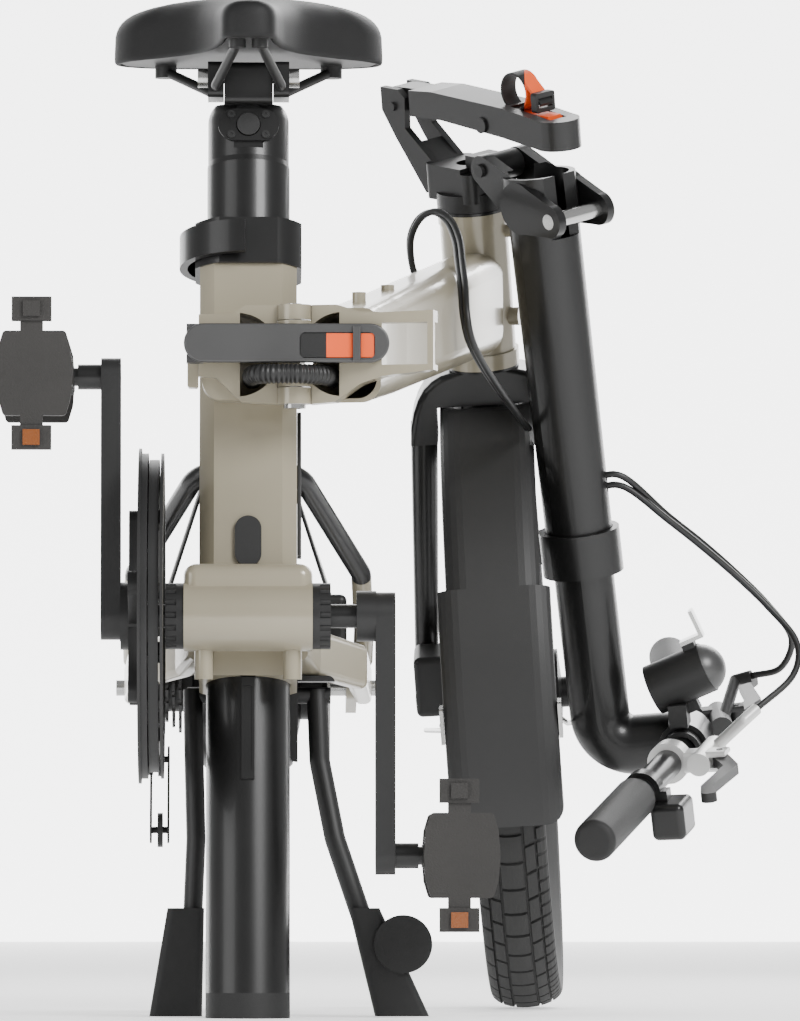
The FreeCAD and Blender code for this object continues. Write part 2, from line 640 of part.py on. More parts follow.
def saddle_rails():
    rails = []
    for side in (-1, 1):
        path = [Vector(side * 8, 26, 699), Vector(side * 10, 38, 694), Vector(side * RAIL_X, 84, 672.5),
                Vector(side * RAIL_X, 160, 672.5), Vector(side * 60, 206, 694), Vector(side * 62, 214, 700)]
        rails.append(bent_tube(path, 3.5, 9))
    return Part.Compound(rails)


def saddle_outline(z, inset):
    half = [(0, 2), (14, 4), (20, 14), (22, 40), (27, 80), (40, 118), (66, 150), (91, 172),
            (99, 192), (94, 212), (70, 226), (36, 232), (0, 228)]
    points = [Vector(max(x - inset, 0), min(max(y, 2 + inset), 231 - inset), z) for x, y in half]
    points += [Vector(-p.x, p.y, z) for p in reversed(points[1:-1])]
    return points


def saddle_shell():
    base = prism(saddle_outline(699, 5), Z_AXIS * 5)
    sockets = []
    for side in (-1, 1):
        sockets.append(rod(Vector(side * 61, 209, 690), Vector(side * 61, 209, 700), 8))
        sockets.append(rod(Vector(side * 8, 24, 693), Vector(side * 8, 24, 700), 6))
    shell = fuse(base, *sockets)
    return cut(shell, saddle_rails())


def saddle_pad():
    return prism(saddle_outline(704.2, 1), Z_AXIS * 38.8)


# ---------------------------------------------------------------- crank and pedals
CRANK_OUT = 96.5


def crank_arm(side):
    tip = CRANK_CENTRE + Z_AXIS * (-side * CRANK_LENGTH)
    inner = X_AXIS * (side * 90.5)
    arm = link(CRANK_CENTRE + inner, tip + inner, 17, 13.5, X_AXIS * (side * 14))
    boss = rod(CRANK_CENTRE + X_AXIS * (side * 77), CRANK_CENTRE + X_AXIS * (side * 91), 18)
    arm = fuse(arm, boss)
    square = block((-200, 200), (-6.5, 6.5), (CRANK_HEIGHT - 6.5, CRANK_HEIGHT + 6.5))
    thread = rod(tip - X_AXIS * 200, tip + X_AXIS * 200, 7)
    return cut(arm, square, thread)


def crank_arm_right():
    arm = crank_arm(-1)
    spider = []
    for index in range(5):
        end = around_x(CRANK_CENTRE, 66, 90 + index * 72)
        spider.append(link(CRANK_CENTRE - X_AXIS * 84.6, end - X_AXIS * 84.6, 15, 9, X_AXIS * 7))
        spider.append(rod(end - X_AXIS * 84, end - X_AXIS * 68.4, 8))
    hub = rod(CRANK_CENTRE - X_AXIS * 90.5, CRANK_CENTRE - X_AXIS * 77, 24)
    square = block((-200, 200), (-6.5, 6.5), (CRANK_HEIGHT - 6.5, CRANK_HEIGHT + 6.5))
    return cut(fuse(arm, hub, *spider), square)


def crank_arm_left():
    return crank_arm(1)


def crank_spindle():
    shaft = rod(CRANK_CENTRE - X_AXIS * 77, CRANK_CENTRE + X_AXIS * 77, 8.5)
    ends = [block(x, (-6.4, 6.4), (CRANK_HEIGHT - 6.4, CRANK_HEIGHT + 6.4)) for x in ((-103, -76), (76, 103))]
    return fuse(shaft, *ends)


def toothed_ring(x, thickness, outer, inner, teeth, centre, depth=4.5):
    blank = ring(centre + X_AXIS * x, centre + X_AXIS * (x + thickness), outer, inner)
    cutters = []
    for index in range(teeth):
        middle = around_x(centre, outer, index * 360.0 / teeth)
        cutters.append(rod(middle + X_AXIS * (x - 1), middle + X_AXIS * (x + thickness + 1), depth * 0.8))
    return blank.cut(cutters)


def chainring():
    gear = toothed_ring(CHAIN_X - 1.1, 2.2, CHAIN_RING_RADIUS - 3.4, 58, 52, CRANK_CENTRE)
    bolts = [rod(around_x(CRANK_CENTRE, 66, 90 + i * 72) - X_AXIS * 80, around_x(CRANK_CENTRE, 66, 90 + i * 72), 3.6)
             for i in range(5)]
    return cut(gear, *bolts)


def chain_guards():
    outer = ring(CRANK_CENTRE - X_AXIS * 77.4, CRANK_CENTRE - X_AXIS * 75.4, 119, 100)
    rim = ring(CRANK_CENTRE - X_AXIS * 75.4, CRANK_CENTRE - X_AXIS * 70.6, 115.5, 112.6)
    web = ring(CRANK_CENTRE - X_AXIS * 72.6, CRANK_CENTRE - X_AXIS * 70.6, 115.5, 75)
    inner = ring(CRANK_CENTRE - X_AXIS * 61.6, CRANK_CENTRE - X_AXIS * 59.6, 115.5, 75)
    spacers = []
    for index in range(5):
        middle = around_x(CRANK_CENTRE, 84, 54 + index * 72)
        spacers.append(rod(middle - X_AXIS * 72.6, middle - X_AXIS * (-CHAIN_X + 1.1), 5))
        spacers.append(rod(middle - X_AXIS * (-CHAIN_X - 1.1), middle - X_AXIS * 59.6, 5))
    return Part.Compound([fuse(outer, rim, web, *spacers[::2]), fuse(inner, *spacers[1::2])])


def chainring_bolts():
    bolts = []
    for index in range(5):
        middle = around_x(CRANK_CENTRE, 66, 90 + index * 72)
        head = rod(middle - X_AXIS * 65.1, middle - X_AXIS * 62.9, 6)
        bolts.append(fuse(head, rod(middle - X_AXIS * 68.3, middle - X_AXIS * 65, 3.5)))
    return Part.Compound(bolts)


def pedal_centre(side):
    return CRANK_CENTRE + Z_AXIS * (-side * CRANK_LENGTH) + X_AXIS * (side * 151)


def pedal_spindles():
    spindles = []
    for side in (-1, 1):
        centre = pedal_centre(side)
        inner = Vector(side * 92, centre.y, centre.z)
        shaft = fuse(rod(inner, Vector(side * 176, centre.y, centre.z), 6.5),
                     rod(Vector(side * 104.7, centre.y, centre.z), Vector(side * 121, centre.y, centre.z), 9))
        spindles.append(shaft)
    return Part.Compound(spindles)


def pedal(side):
    centre = pedal_centre(side)
    barrel = rod(centre - X_AXIS * 26, centre + X_AXIS * 26, 13)
    plates = []
    for y in (-44, 36):
        outline = [(-22, -30), (22, -30), (25.6, -18), (27, 0), (25.6, 18), (22, 30), (-22, 30), (-25.6, 18), (-27, 0), (-25.6, -18)]
        plate = prism([Vector(centre.x + x, y, centre.z + z) for x, z in outline], Y_AXIS * 8)
        plates.append(rounded(plate, 3, Y_AXIS))
    for x in (-27, 21):
        plates.append(block((centre.x + x, centre.x + x + 6), (-40, 40), (centre.z - 8, centre.z + 8)))
    for sign in (-1, 1):
        stem = block((centre.x - 10, centre.x + 6), (-44, -38), sorted_pair(centre.z + sign * 28, centre.z + sign * 38))
        head = block((centre.x - 16, centre.x + 12), (-46, -36), sorted_pair(centre.z + sign * 37, centre.z + sign * 54))
        plates += [stem, head]
    bore = rod(centre - X_AXIS * 60, centre + X_AXIS * 60, 6.5 + SHAFT_GAP)
    return cut(fuse(barrel, *plates), bore)


def sorted_pair(first, second):
    return (min(first, second), max(first, second))


def pedal_right():
    return pedal(-1)


def pedal_left():
    return pedal(1)


def pedal_reflector(side):
    centre = pedal_centre(side)
    lenses = []
    for sign in (-1, 1):
        span = sorted_pair(centre.z + sign * 40, centre.z + sign * 51)
        lenses.append(block((centre.x - 8, centre.x + 4), (-48.5, -46), span))
    return Part.Compound(lenses)


def pedal_reflectors_right():
    return pedal_reflector(-1)


def pedal_reflectors_left():
    return pedal_reflector(1)


# ---------------------------------------------------------------- wheels
TYRE_OUTLINE = [(203.5, -12), (207, -17), (222, -25), (232, -27.5), (239, -24), (243.5, -14), (245, 0),
                (243.5, 14), (239, 24), (232, 27.5), (222, 25), (207, 17), (203.5, 12),
                (206, 11), (209, 14), (222, 21.5), (236, 20), (240, 8), (240.5, 0),
                (240, -8), (236, -20), (222, -21.5), (209, -14), (206, -11)]
RIM_OUTLINE = [(203.3, -12), (207, -12.5), (209, -16.9), (206, -17.5), (194, -16.5), (188, -9), (188, 9),
               (194, 16.5), (206, 17.5), (209, 16.9), (207, 12.5), (203.3, 12), (198, 7), (198, -7)]


def wheel_tyre(centre):
    return cut(revolved(TYRE_OUTLINE, centre, X_AXIS), wheel_rim(centre))


def wheel_rim(centre):
    return revolved(RIM_OUTLINE, centre, X_AXIS)


def wheel_spokes(centre, hub_radius, flange, count):
    spokes = []
    for index in range(count):
        side = 1 if index % 2 else -1
        angle = index * 360.0 / count
        lead = 26 if index % 4 < 2 else -26
        start = around_x(centre, hub_radius, angle + lead) + X_AXIS * side * flange
        end = around_x(centre, 187.6, angle) + X_AXIS * side * 3
        spokes.append(rod(start, end, 1.1))
    return Part.Compound(spokes)


def brake_rotor(centre, x, radius=80, hub=24):
    disc = ring(centre + X_AXIS * x, centre + X_AXIS * (x + 1.8), radius, hub)
    slots = []
    for index in range(6):
        middle = around_x(centre, 46, index * 60)
        slots.append(rod(middle + X_AXIS * (x - 1), middle + X_AXIS * (x + 3), 13))
    for index in range(24):
        middle = around_x(centre, 72, index * 15)
        slots.append(rod(middle + X_AXIS * (x - 1), middle + X_AXIS * (x + 3), 2.6))
    return cut(disc, *slots)


def rear_tyre():
    return wheel_tyre(REAR_AXLE)


def rear_rim():
    return wheel_rim(REAR_AXLE)


def rear_hub_motor():
    outline = [(6.1, -73), (16, -73), (16, -42), (58, -34), (66, -28), (66, 26), (58, 34), (24, 40), (24, 56),
               (16, 62), (6.1, 62)]
    return revolved(outline, REAR_AXLE, X_AXIS)


def rear_spokes():
    return wheel_spokes(REAR_AXLE, 66.3, 24, 28)


def rear_rotor():
    return brake_rotor(REAR_AXLE, 56.9 + 3, 80, 24.1)


def cassette():
    cogs = []
    for index, radius in enumerate((26.5, 30, 34, 38)):
        x = CHAIN_X - 1.1 + index * 5
        size = COG_RADIUS - 3.2 if index == 0 else radius - 4
        cogs.append(toothed_ring(x, 2.2, size, 17.5, 15 + index, REAR_AXLE, 3))
    core = ring(REAR_AXLE - X_AXIS * 70, REAR_AXLE - X_AXIS * 42.2, 18, 16.2)
    return fuse(core, *cogs)


# ---------------------------------------------------------------- front frame (unfolded coordinates)
def front_hinge():
    face = HINGE_Y - 0.3
    middle = HINGE_Z
    outline = [(23, PLATE_HIGH), (2.4, PLATE_HIGH), (-14.6, middle + 30.2), (-31.5, middle + 29.5),
               (-68.5, middle + 30.5), (-68.5, middle - 12.1), (-31.5, middle - 16.1), (-15, middle - 21.5),
               (3.8, PLATE_LOW + 1.3), (23, PLATE_LOW)]
    plate = prism([Vector(x, face - PLATE_DEPTH, z) for x, z in outline], Y_AXIS * PLATE_DEPTH)
    column = knuckle(KNUCKLE_LOW + 0.3, KNUCKLE_HIGH - 0.3)
    gap = block((-64.2, -31), (-40, 40), (LATCH_LOW - 1.2, LATCH_HIGH + 1.2))
    end_gap = block((-80, -60), (-40, face - 5), (LATCH_LOW - 1.2, LATCH_HIGH + 1.2))
    mouth = rod(Vector(-1.5, -40, middle), Vector(-1.5, 40, middle), 30).common(block((0.2, 30), (-30, 30), (430, 515)))
    rooms = [knuckle(KNUCKLE_HIGH - 0.2, PLATE_HIGH + 5, KNUCKLE_RADIUS + RUNNING_GAP),
             knuckle(PLATE_LOW - 5, KNUCKLE_LOW + 0.2, KNUCKLE_RADIUS + RUNNING_GAP)]
    pin_hole = rod(Vector(HINGE_X, HINGE_Y, 400), Vector(HINGE_X, HINGE_Y, 540), 5 + SHAFT_GAP)
    keep = fuse(plate, column)
    return on_front_frame(cut(keep, gap, end_gap, mouth, pin_hole, *rooms))


def latch_bumper():
    top = Vector(-26, 0, HINGE_Z + 6.9)
    pad = rod(Vector(-27, -3, HINGE_Z + 7), Vector(-27, 5.6, HINGE_Z + 7), 14)
    return on_front_frame(cut(pad, block((-30.9, 40), (-30, 30), (400, 560))).common(block((-42, 0), (-9, 15), (400, 560))))


TUBE_START = HINGE_Y - 0.3 - PLATE_DEPTH
TUBE_END = Vector(0, HINGE_Y - HEAD_FORWARD - 4, 541)


def main_tube_sections(wall):
    start = Vector(-2, TUBE_START, HINGE_Z)
    middle = Vector(0, TUBE_START - 90, HINGE_Z + 13)
    return [oval_section(start, 50 - wall * 2, 68 - wall * 2, X_AXIS, Z_AXIS, 14),
            oval_section(middle, 50 - wall * 2, 72 - wall * 2, X_AXIS, Z_AXIS, 17),
            oval_section(TUBE_END, 46 - wall * 2, 80 - wall * 2, X_AXIS, Z_AXIS, 18)]


def main_tube():
    outside = lofted(main_tube_sections(0))
    inside = lofted(main_tube_sections(3))
    head = rod(Vector(0, 0, -HEAD_LENGTH - 20), Vector(0, 0, 20), 26.1)
    boss_a = rod(Vector(0, -40, 505), Vector(0, -40, 521), 5)
    boss_b = rod(Vector(0, -130, 515), Vector(0, -130, 533), 5)
    tube = fuse(outside, cut(boss_a, outside), cut(boss_b, outside))
    return on_front_frame(cut(tube, inside, placed(head, STEER_FRAME)))


def head_tube():
    body = rod(Vector(0, 0, -HEAD_LENGTH), ORIGIN, 26)
    low = rod(Vector(0, 0, -HEAD_LENGTH), Vector(0, 0, -HEAD_LENGTH + 12), 28)
    high = rod(Vector(0, 0, -9), ORIGIN, 27)
    bosses = [rod(Vector(-32, 4, -84), Vector(-20, 4, -84), 7), rod(Vector(-31, 2, -17), Vector(-20, 2, -17), 5)]
    bore = rod(Vector(0, 0, -HEAD_LENGTH - 5), Vector(0, 0, 5), 17.2)
    return placed(cut(fuse(body, low, high, *bosses), bore), FOLD * STEER_FRAME)


def headset():
    low = ring(Vector(0, 0, -HEAD_LENGTH - 2.2), Vector(0, 0, -HEAD_LENGTH), 27, 14.6)
    high = ring(ORIGIN, Vector(0, 0, 2.2), 27, 14.6)
    bearings = [ring(Vector(0, 0, z), Vector(0, 0, z + 8), 17.1, 14.6) for z in (-HEAD_LENGTH, -8)]
    return placed(Part.Compound([fuse(low, bearings[0]), fuse(high, bearings[1])]), FOLD * STEER_FRAME)


def controller():
    box = block((-12, 12), (-260, -120), (495, 530))
    return on_front_frame(rounded(box, 3, Y_AXIS))


# ---------------------------------------------------------------- fork (steering frame)
def fork():
    steerer = rod(Vector(0, 0, -150), Vector(0, 0, 1.7), 14.5)
    half = [(27, -125.2), (34, -127), (41, -131), (47.5, -137), (52.5, -145), (56.5, -155), (59, -166), (60, -180),
            (39, -180), (38.5, -151)]
    outline = half + [(-x, z) for x, z in reversed(half)]
    crown = prism([Vector(x, -19, z) for x, z in outline], Y_AXIS * 36)
    front_edges = [e for e in crown.Edges if abs(e.CenterOfMass.y - 17) < 0.1 and e.CenterOfMass.z > -170
                   and abs(e.CenterOfMass.x) > 20 and e.CenterOfMass.z > -1.2 * abs(e.CenterOfMass.x) - 104]
    crown = crown.makeFillet(5, front_edges)
    pieces = [steerer, crown]
    for side in (-1, 1):
        top = Vector(side * BLADE_TOP_X, -1, -166)
        end = Vector(side * BLADE_END_X, FRONT_AXLE.y + 4, FRONT_AXLE.z + 16)
        pieces.append(cone(top, end, 10.5, 9))
        inner = Vector(side * 56, FRONT_AXLE.y, FRONT_AXLE.z)
        pieces.append(link(inner + Vector(0, 4, 24), inner, 12, 13, X_AXIS * (side * 7)))
    shape = fuse(*pieces)
    hole = rod(FRONT_AXLE - X_AXIS * 90, FRONT_AXLE + X_AXIS * 90, 5.1)
    return on_fork(cut(shape, hole))


def front_axle():
    shaft = rod(FRONT_AXLE - X_AXIS * 73, FRONT_AXLE + X_AXIS * 73, 5)
    nuts = [ring(FRONT_AXLE + X_AXIS * side * 63.1, FRONT_AXLE + X_AXIS * side * 70, 10, 4) for side in (-1, 1)]
    return on_fork(fuse(shaft, *nuts))


def fender_section(half, low, width, height):
    """Half of a rounded shell's edge line, from its lip inwards."""
    turns = [math.radians(angle) for angle in (0, 18, 36, 54, 72, 90)]
    return [(low + height * math.sin(t), half - width + width * math.cos(t)) for t in turns]


def fender_band(half, start, sweep):
    outer = fender_section(half, 251, 16, 8)
    inner = fender_section(half - 2.6, 251, 14.4, 5.4)
    section = [(r, -x) for r, x in outer] + [(r, x) for r, x in reversed(outer)]
    section += inner + [(r, -x) for r, x in reversed(inner)]
    band = revolved(section, FRONT_AXLE, X_AXIS, sweep)
    band.rotate(FRONT_AXLE, X_AXIS, start)
    return band


def flap_corner(half, start, side):
    """What is cut from a corner of the flap to round it."""
    base = around_x(FRONT_AXLE, 244, start)
    outward = (base - FRONT_AXLE).normalize()
    along = (around_x(FRONT_AXLE, 244, start + 0.5) - base).normalize()
    turns = [math.radians(angle) for angle in range(0, 91, 15)]
    outline = [(half + 1, -1), (half + 1, 12)]
    outline += [(half - 12 + 12 * math.cos(t), 12 - 12 * math.sin(t)) for t in turns] + [(half - 12, -1)]
    return prism([base + X_AXIS * (side * x) + along * y for x, y in outline], outward * 20)


def front_fender():
    upper = fender_band(36, 14, 131)
    flap = cut(fender_band(43, -6, 41), flap_corner(43, -6, -1), flap_corner(43, -6, 1))
    crown_room = block((-70, 70), (-30, 30), (-152, -120))
    pieces = [cut(fuse(upper, flap), crown_room)]
    for side in (-1, 1):
        foot = FRONT_AXLE + Vector(side * 66.5, 8, -22)
        tip = around_x(FRONT_AXLE, 249, 12) + X_AXIS * (side * 44.9)
        knee = Vector(48.6 if side > 0 else -46.2, 34, -405)
        pieces.append(bent_tube([foot, knee, tip], 2, 20))
        pieces.append(rounded(block(sorted_pair(side * 43.2, side * 46),
                                    (tip.y - 8, tip.y + 6), (tip.z - 14, tip.z + 14)), 1.5, X_AXIS))
    return on_fork(Part.Compound([pieces[0], fuse(pieces[1], pieces[2]), fuse(pieces[3], pieces[4])]))


def front_caliper():
    centre = FRONT_AXLE
    body = rounded(block((37.8, 70), (centre.y + 30, centre.y + 76), (centre.z + 8, centre.z + 56)), 5)
    slot = rod(centre + X_AXIS * 41.6, centre + X_AXIS * 46.6, 82)
    ear = rounded(block((50, 70), (centre.y + 13, centre.y + 36), (centre.z + 14, centre.z + 50)), 3)
    shape = cut(fuse(body, ear), slot)
    return on_fork(shape.cut(placed(fork(), FORK_PLACE.inverse())))


def front_tyre():
    return on_fork(wheel_tyre(FRONT_AXLE))


def front_rim():
    return on_fork(wheel_rim(FRONT_AXLE))


def front_hub():
    outline = [(5.1, -55), (12, -55), (12, -42), (34, -40), (34, -36), (16, -30), (16, 28), (34, 32), (34, 36),
               (23, 39), (23, 43), (12, 52), (5.1, 54)]
    return on_fork(revolved(outline, FRONT_AXLE, X_AXIS))


def front_spokes():
    return on_fork(wheel_spokes(FRONT_AXLE, 34.3, 34, 28))


def front_rotor():
    return on_fork(brake_rotor(FRONT_AXLE, 43.1, 80, 23.2))


# ---------------------------------------------------------------- stem and handlepost
STEM_FRAME = Placement(ORIGIN, Rotation(Z_AXIS, POST_HINGE_TURN))    # X along the post's hinge, Y across it
KNOB = Vector(0, POST_HINGE_OFFSET, POST_HINGE_Z)


def on_stem(shape):
    return on_fork(placed(shape, STEM_FRAME))


def along_hinge(y, z, start, end, radius):
    return rod(Vector(start, y, z), Vector(end, y, z), radius)


def stem_base():
    collar = rod(Vector(0, 0, 2.6), Vector(0, 0, 16), 27)
    body = rounded(block((-22, 22), (-30, 24), (10, 37)), 8, Z_AXIS)
    knob = fuse(along_hinge(KNOB.y, KNOB.z, -12.2, 12.2, 11), block((-12.2, 12.2), (10, KNOB.y), (24, 46)))
    pieces = [collar, body, knob]
    for side in (-1, 1):
        x = side * 10.6
        points = [Vector(x, -22, 14), Vector(x, -24, 37), Vector(x, -54, 60), Vector(x, -52, 84), Vector(x, -60, 90),
                  Vector(x, -80, 90), Vector(x, -80, 72), Vector(x, -66, 52), Vector(x, -34, 12)]
        pieces.append(prism(points, X_AXIS * (side * 5.6)))
    web = prism([Vector(-10.7, -22, 14), Vector(-10.7, -24, 37), Vector(-10.7, -44, 50), Vector(-10.7, -54, 40),
                 Vector(-10.7, -34, 12)], X_AXIS * 21.4)
    pin = along_hinge(KNOB.y, KNOB.z, -40, 40, 5 + SHAFT_GAP)
    ear_hole = along_hinge(-STEM_EAR_OFFSET, STEM_EAR_Z, -40, 40, 3.5)
    bore = rod(Vector(0, 0, 2), Vector(0, 0, 60), 10)
    arm_room = [block(sorted_pair(side * 12.6, side * 30), (14, 30), (33, 60)) for side in (-1, 1)]
    return on_stem(cut(fuse(web, *pieces), pin, ear_hole, bore, *arm_room))


def stem_hinge_pins():
    main = along_hinge(KNOB.y, KNOB.z, -26, 26, 5)
    ear = along_hinge(-STEM_EAR_OFFSET, STEM_EAR_Z, -18.5, 18.5, 3.5 - SHAFT_GAP)
    return on_stem(Part.Compound([main, ear]))


def stem_latch():
    tip = STEM_LATCH_LENGTH - STEM_EAR_OFFSET
    outline = [(-46, 71), (-46, 91), (-20, 93), (60, 90), (tip - 14, 84.5), (tip - 14, 62), (60, 67), (-10, 72)]
    blade = prism([Vector(-17, y, z) for y, z in outline], X_AXIS * 34)
    blade = fuse(blade, rod(Vector(0, tip - 14, 62), Vector(0, tip - 14, 84.5), 17))
    root = fuse(prism([Vector(-10, -72, 80), Vector(-10, -72, 90), Vector(-10, -46, 91), Vector(-10, -46, 71)], X_AXIS * 20),
                along_hinge(-STEM_EAR_OFFSET, STEM_EAR_Z, -10, 10, 9))
    recess = block((-8, 8), (62, tip - 12), (82, 100))
    boss = along_hinge(38, 74, 16, 19, 6)
    hole = along_hinge(-STEM_EAR_OFFSET, STEM_EAR_Z, -40, 40, 3.5)
    return on_stem(cut(fuse(blade, root, boss), recess, hole))


def stem_strap():
    loop = fuse(ring(Vector(-7, 66, 101), Vector(7, 66, 101), 15, 13.4))
    tongue = prism([Vector(-6.5, y, z) for y, z in ((72, 113), (73.4, 114.6), (96, 95), (95, 93))], X_AXIS * 13)
    buckle = rounded(block((-9.5, 9.5), (88, 94), (88, 103)), 2, Y_AXIS)
    buckle = cut(buckle, block((-7, 7), (80, 100), (91.5, 99)))
    low = block((-6.5, 6.5), (68, 103), (84.5, 86.1))
    floor = block((-7.9, 7.9), (62.1, 103), (82.1, 84.4))
    pieces = Part.Compound([cut(fuse(loop, floor), low), cut(fuse(tongue, low), loop, buckle, floor), cut(buckle, low, floor)])
    return on_stem(pieces).cut(stem_latch())


def handlepost():
    top = POST_HINGE_Z + POST_LENGTH
    tube = fuse(cone(Vector(0, 0, 74), Vector(0, 0, top), 27, 25.6),
                rod(Vector(0, 0, 44), Vector(0, 0, 76), 28))
    arms = []
    for side in (-1, 1):
        thick = X_AXIS * (side * 10)
        arms.append(link(Vector(side * 13, KNOB.y, KNOB.z), Vector(side * 13, 6, 62), 11.5, 17, thick))
        arms.append(link(Vector(side * 21, -38, 74), Vector(side * 21, -4, 66), 12.5, 20, X_AXIS * (side * 7)))
    shape = fuse(tube, *arms)
    bore = rod(Vector(0, 0, 40), Vector(0, 0, top + 1), 23.4)
    pins = [along_hinge(KNOB.y, KNOB.z, -40, 40, 5 + SHAFT_GAP), along_hinge(-38, 74, -40, 40, 6)]
    middle = block((-12.6, 12.6), (12, 60), (30, 60))
    hook_room = block((-21, 21), (-60, -23), (40, 92))
    slit = block((-1.2, 1.2), (10, 40), (top - 40, top + 1))
    shape = cut(shape, bore, middle, hook_room, slit, *pins)
    return on_post(placed(shape, STEM_FRAME).cut(hose_hole()))


def hose_hole():
    middle = Vector(0, -60, POST_HINGE_Z + POST_LENGTH - 62)
    reach = Y_AXIS * 60
    low = rod(middle - Z_AXIS * 4, middle - Z_AXIS * 4 + reach, 3.3)
    return Part.Compound([low, rod(middle + Z_AXIS * 4, middle + Z_AXIS * 4 + reach, 3.3)])


def latch_bar():
    return on_post(placed(along_hinge(-38, 74, -28.5, 28.5, 5.95), STEM_FRAME))


def post_collar():
    top = POST_HINGE_Z + POST_LENGTH
    body = ring(Vector(0, 0, top - 28), Vector(0, 0, top + 6), 31, 26.2)
    lip = ring(Vector(0, 0, top + 0.2), Vector(0, 0, top + 6), 31, 23.5)
    ears = block((-9, 9), (28, 42), (top - 24, top + 2))
    slit = block((-1.2, 1.2), (20, 50), (top - 40, top + 10))
    screw = rod(Vector(-14, 36, top - 11), Vector(14, 36, top - 11), 3)
    inner = rod(Vector(0, 0, top - 40), Vector(0, 0, top + 0.1), 26.2)
    return on_post(placed(cut(fuse(body, lip, cut(ears, inner)), slit, screw, rod(Vector(0, 0, top - 50), Vector(0, 0, top + 9), 23.5)), STEM_FRAME))


def collar_screw():
    z = POST_HINGE_Z + POST_LENGTH - 11
    shape = fuse(rod(Vector(-9, 36, z), Vector(9, 36, z), 2.9), rod(Vector(-13, 36, z), Vector(-9.1, 36, z), 5),
                 rod(Vector(-9.1, 36, z), Vector(-9, 36, z), 2.9))
    return on_post(placed(shape, STEM_FRAME))


BAR_Z = POST_HINGE_Z + POST_EXTENSION
BAR_Y = -64.0


def clamp_solid():
    return rod(Vector(-21.9, BAR_Y, BAR_Z), Vector(21.9, BAR_Y, BAR_Z), 19)


def upper_post():
    low = POST_HINGE_Z + POST_LENGTH - 42
    tube = bent_tube([Vector(0, 0, low), Vector(0, 0, BAR_Z), Vector(0, BAR_Y + 10, BAR_Z)], 22.9, 26)
    hollow = bent_tube([Vector(0, 0, low - 1), Vector(0, 0, BAR_Z), Vector(0, BAR_Y + 22, BAR_Z)], 20, 26)
    shape = fuse(cut(tube, hollow), clamp_solid())
    return on_post(cut(shape, rod(Vector(-40, BAR_Y, BAR_Z), Vector(40, BAR_Y, BAR_Z), BAR_RADIUS)))


def bar_point(side, distance):
    turn = math.radians(BAR_SWEEP)
    return Vector(side * (22 + (distance - 22) * math.cos(turn)), BAR_Y + (distance - 22) * math.sin(turn), BAR_Z)


def handlebar_solid():
    path = [bar_point(-1, BAR_HALF - 3), bar_point(-1, 22), bar_point(1, 22), bar_point(1, BAR_HALF - 3)]
    return bent_tube(path, BAR_RADIUS, 30)


def handlebar():
    return on_post(handlebar_solid())


def grips():
    pair = []
    for side in (-1, 1):
        start = bar_point(side, BAR_HALF - 118)
        end = bar_point(side, BAR_HALF)
        grip = rod(start, end, GRIP_RADIUS)
        grip = grip.makeFillet(5, [e for e in grip.Edges if e.Length > 60 and (e.CenterOfMass - end).Length < 1])
        pair.append(cut(grip, rod(bar_point(side, 0), bar_point(side, BAR_HALF - 2.5), BAR_RADIUS)))
    return on_post(Part.Compound(pair))


LEVER_AT = 62.0
LEVER_PIVOT_Y = -34.0

HOSE_RADIUS = 2.6
FAR_HOSE = [Vector(320.8, 432.0, 378.3), Vector(347.8, 450.0, 358.5), Vector(374.2, 470.0, 337.1), Vector(401.0, 492.0, 312.6),
            Vector(421.1, 515.0, 287.2), Vector(413.6, 530.0, 264.4), Vector(391.7, 540.0, 258.5)]
NEAR_HOSE = [Vector(321.1, 424.0, 374.1), Vector(347.5, 432.0, 353.9), Vector(373.8, 438.0, 332.0), Vector(398.3, 438.0, 308.3),
             Vector(419.2, 430.0, 281.2), Vector(415.1, 415.0, 254.8), Vector(386.6, 398.0, 229.3)]
HEAD_CABLE_ROUTE = [Vector(136.2, 402, 555), Vector(127, 403, 561), Vector(123.0, 398.0, 577.9), Vector(123.7, 392.0, 591.1), Vector(130.3, 383.0, 602.4), Vector(140.6, 371.0, 605.2),
                    Vector(150.1, 356.0, 597.1), Vector(155.6, 334.0, 580.9), Vector(157.1, 305.0, 561.3), Vector(158.4, 272.0, 539.3),
                    Vector(159.5, 256.0, 518.8), Vector(163.3, 260.0, 501.3), Vector(172.1, 280.0, 485.5), Vector(185.0, 312.0, 469.8),
                    Vector(198.9, 350.0, 455.7), Vector(207.6, 382.0, 447.8), Vector(213.8, 410.0, 443.4)]


def bar_frame(side, distance):
    """At a point on the bar: X outwards along it, Y rearwards, Z up."""
    if side > 0:
        return Placement(bar_point(1, distance), Rotation(Z_AXIS, BAR_SWEEP))
    return Placement(bar_point(-1, distance), Rotation(Z_AXIS, -BAR_SWEEP))


def brake_body(side):
    clamp = ring(Vector(-7, 0, 0), Vector(7, 0, 0), 16, BAR_RADIUS)
    arm = rounded(block((-9, 9), (-46, -13), (-8, 8)), 3, Y_AXIS)
    cylinder = rod(Vector(-38 * side, -26, 0), Vector(14 * side, -26, 0), 9)
    slot = block((-12, 12), (-60, -28), (-4.2, 4.2))
    hole = rod(Vector(0, LEVER_PIVOT_Y - 6, -20), Vector(0, LEVER_PIVOT_Y - 6, 20), 2.5)
    shape = cut(fuse(clamp, arm, cylinder), slot, hole, rod(Vector(-60, 0, 0), Vector(60, 0, 0), BAR_RADIUS))
    return placed(shape, bar_frame(side, LEVER_AT))


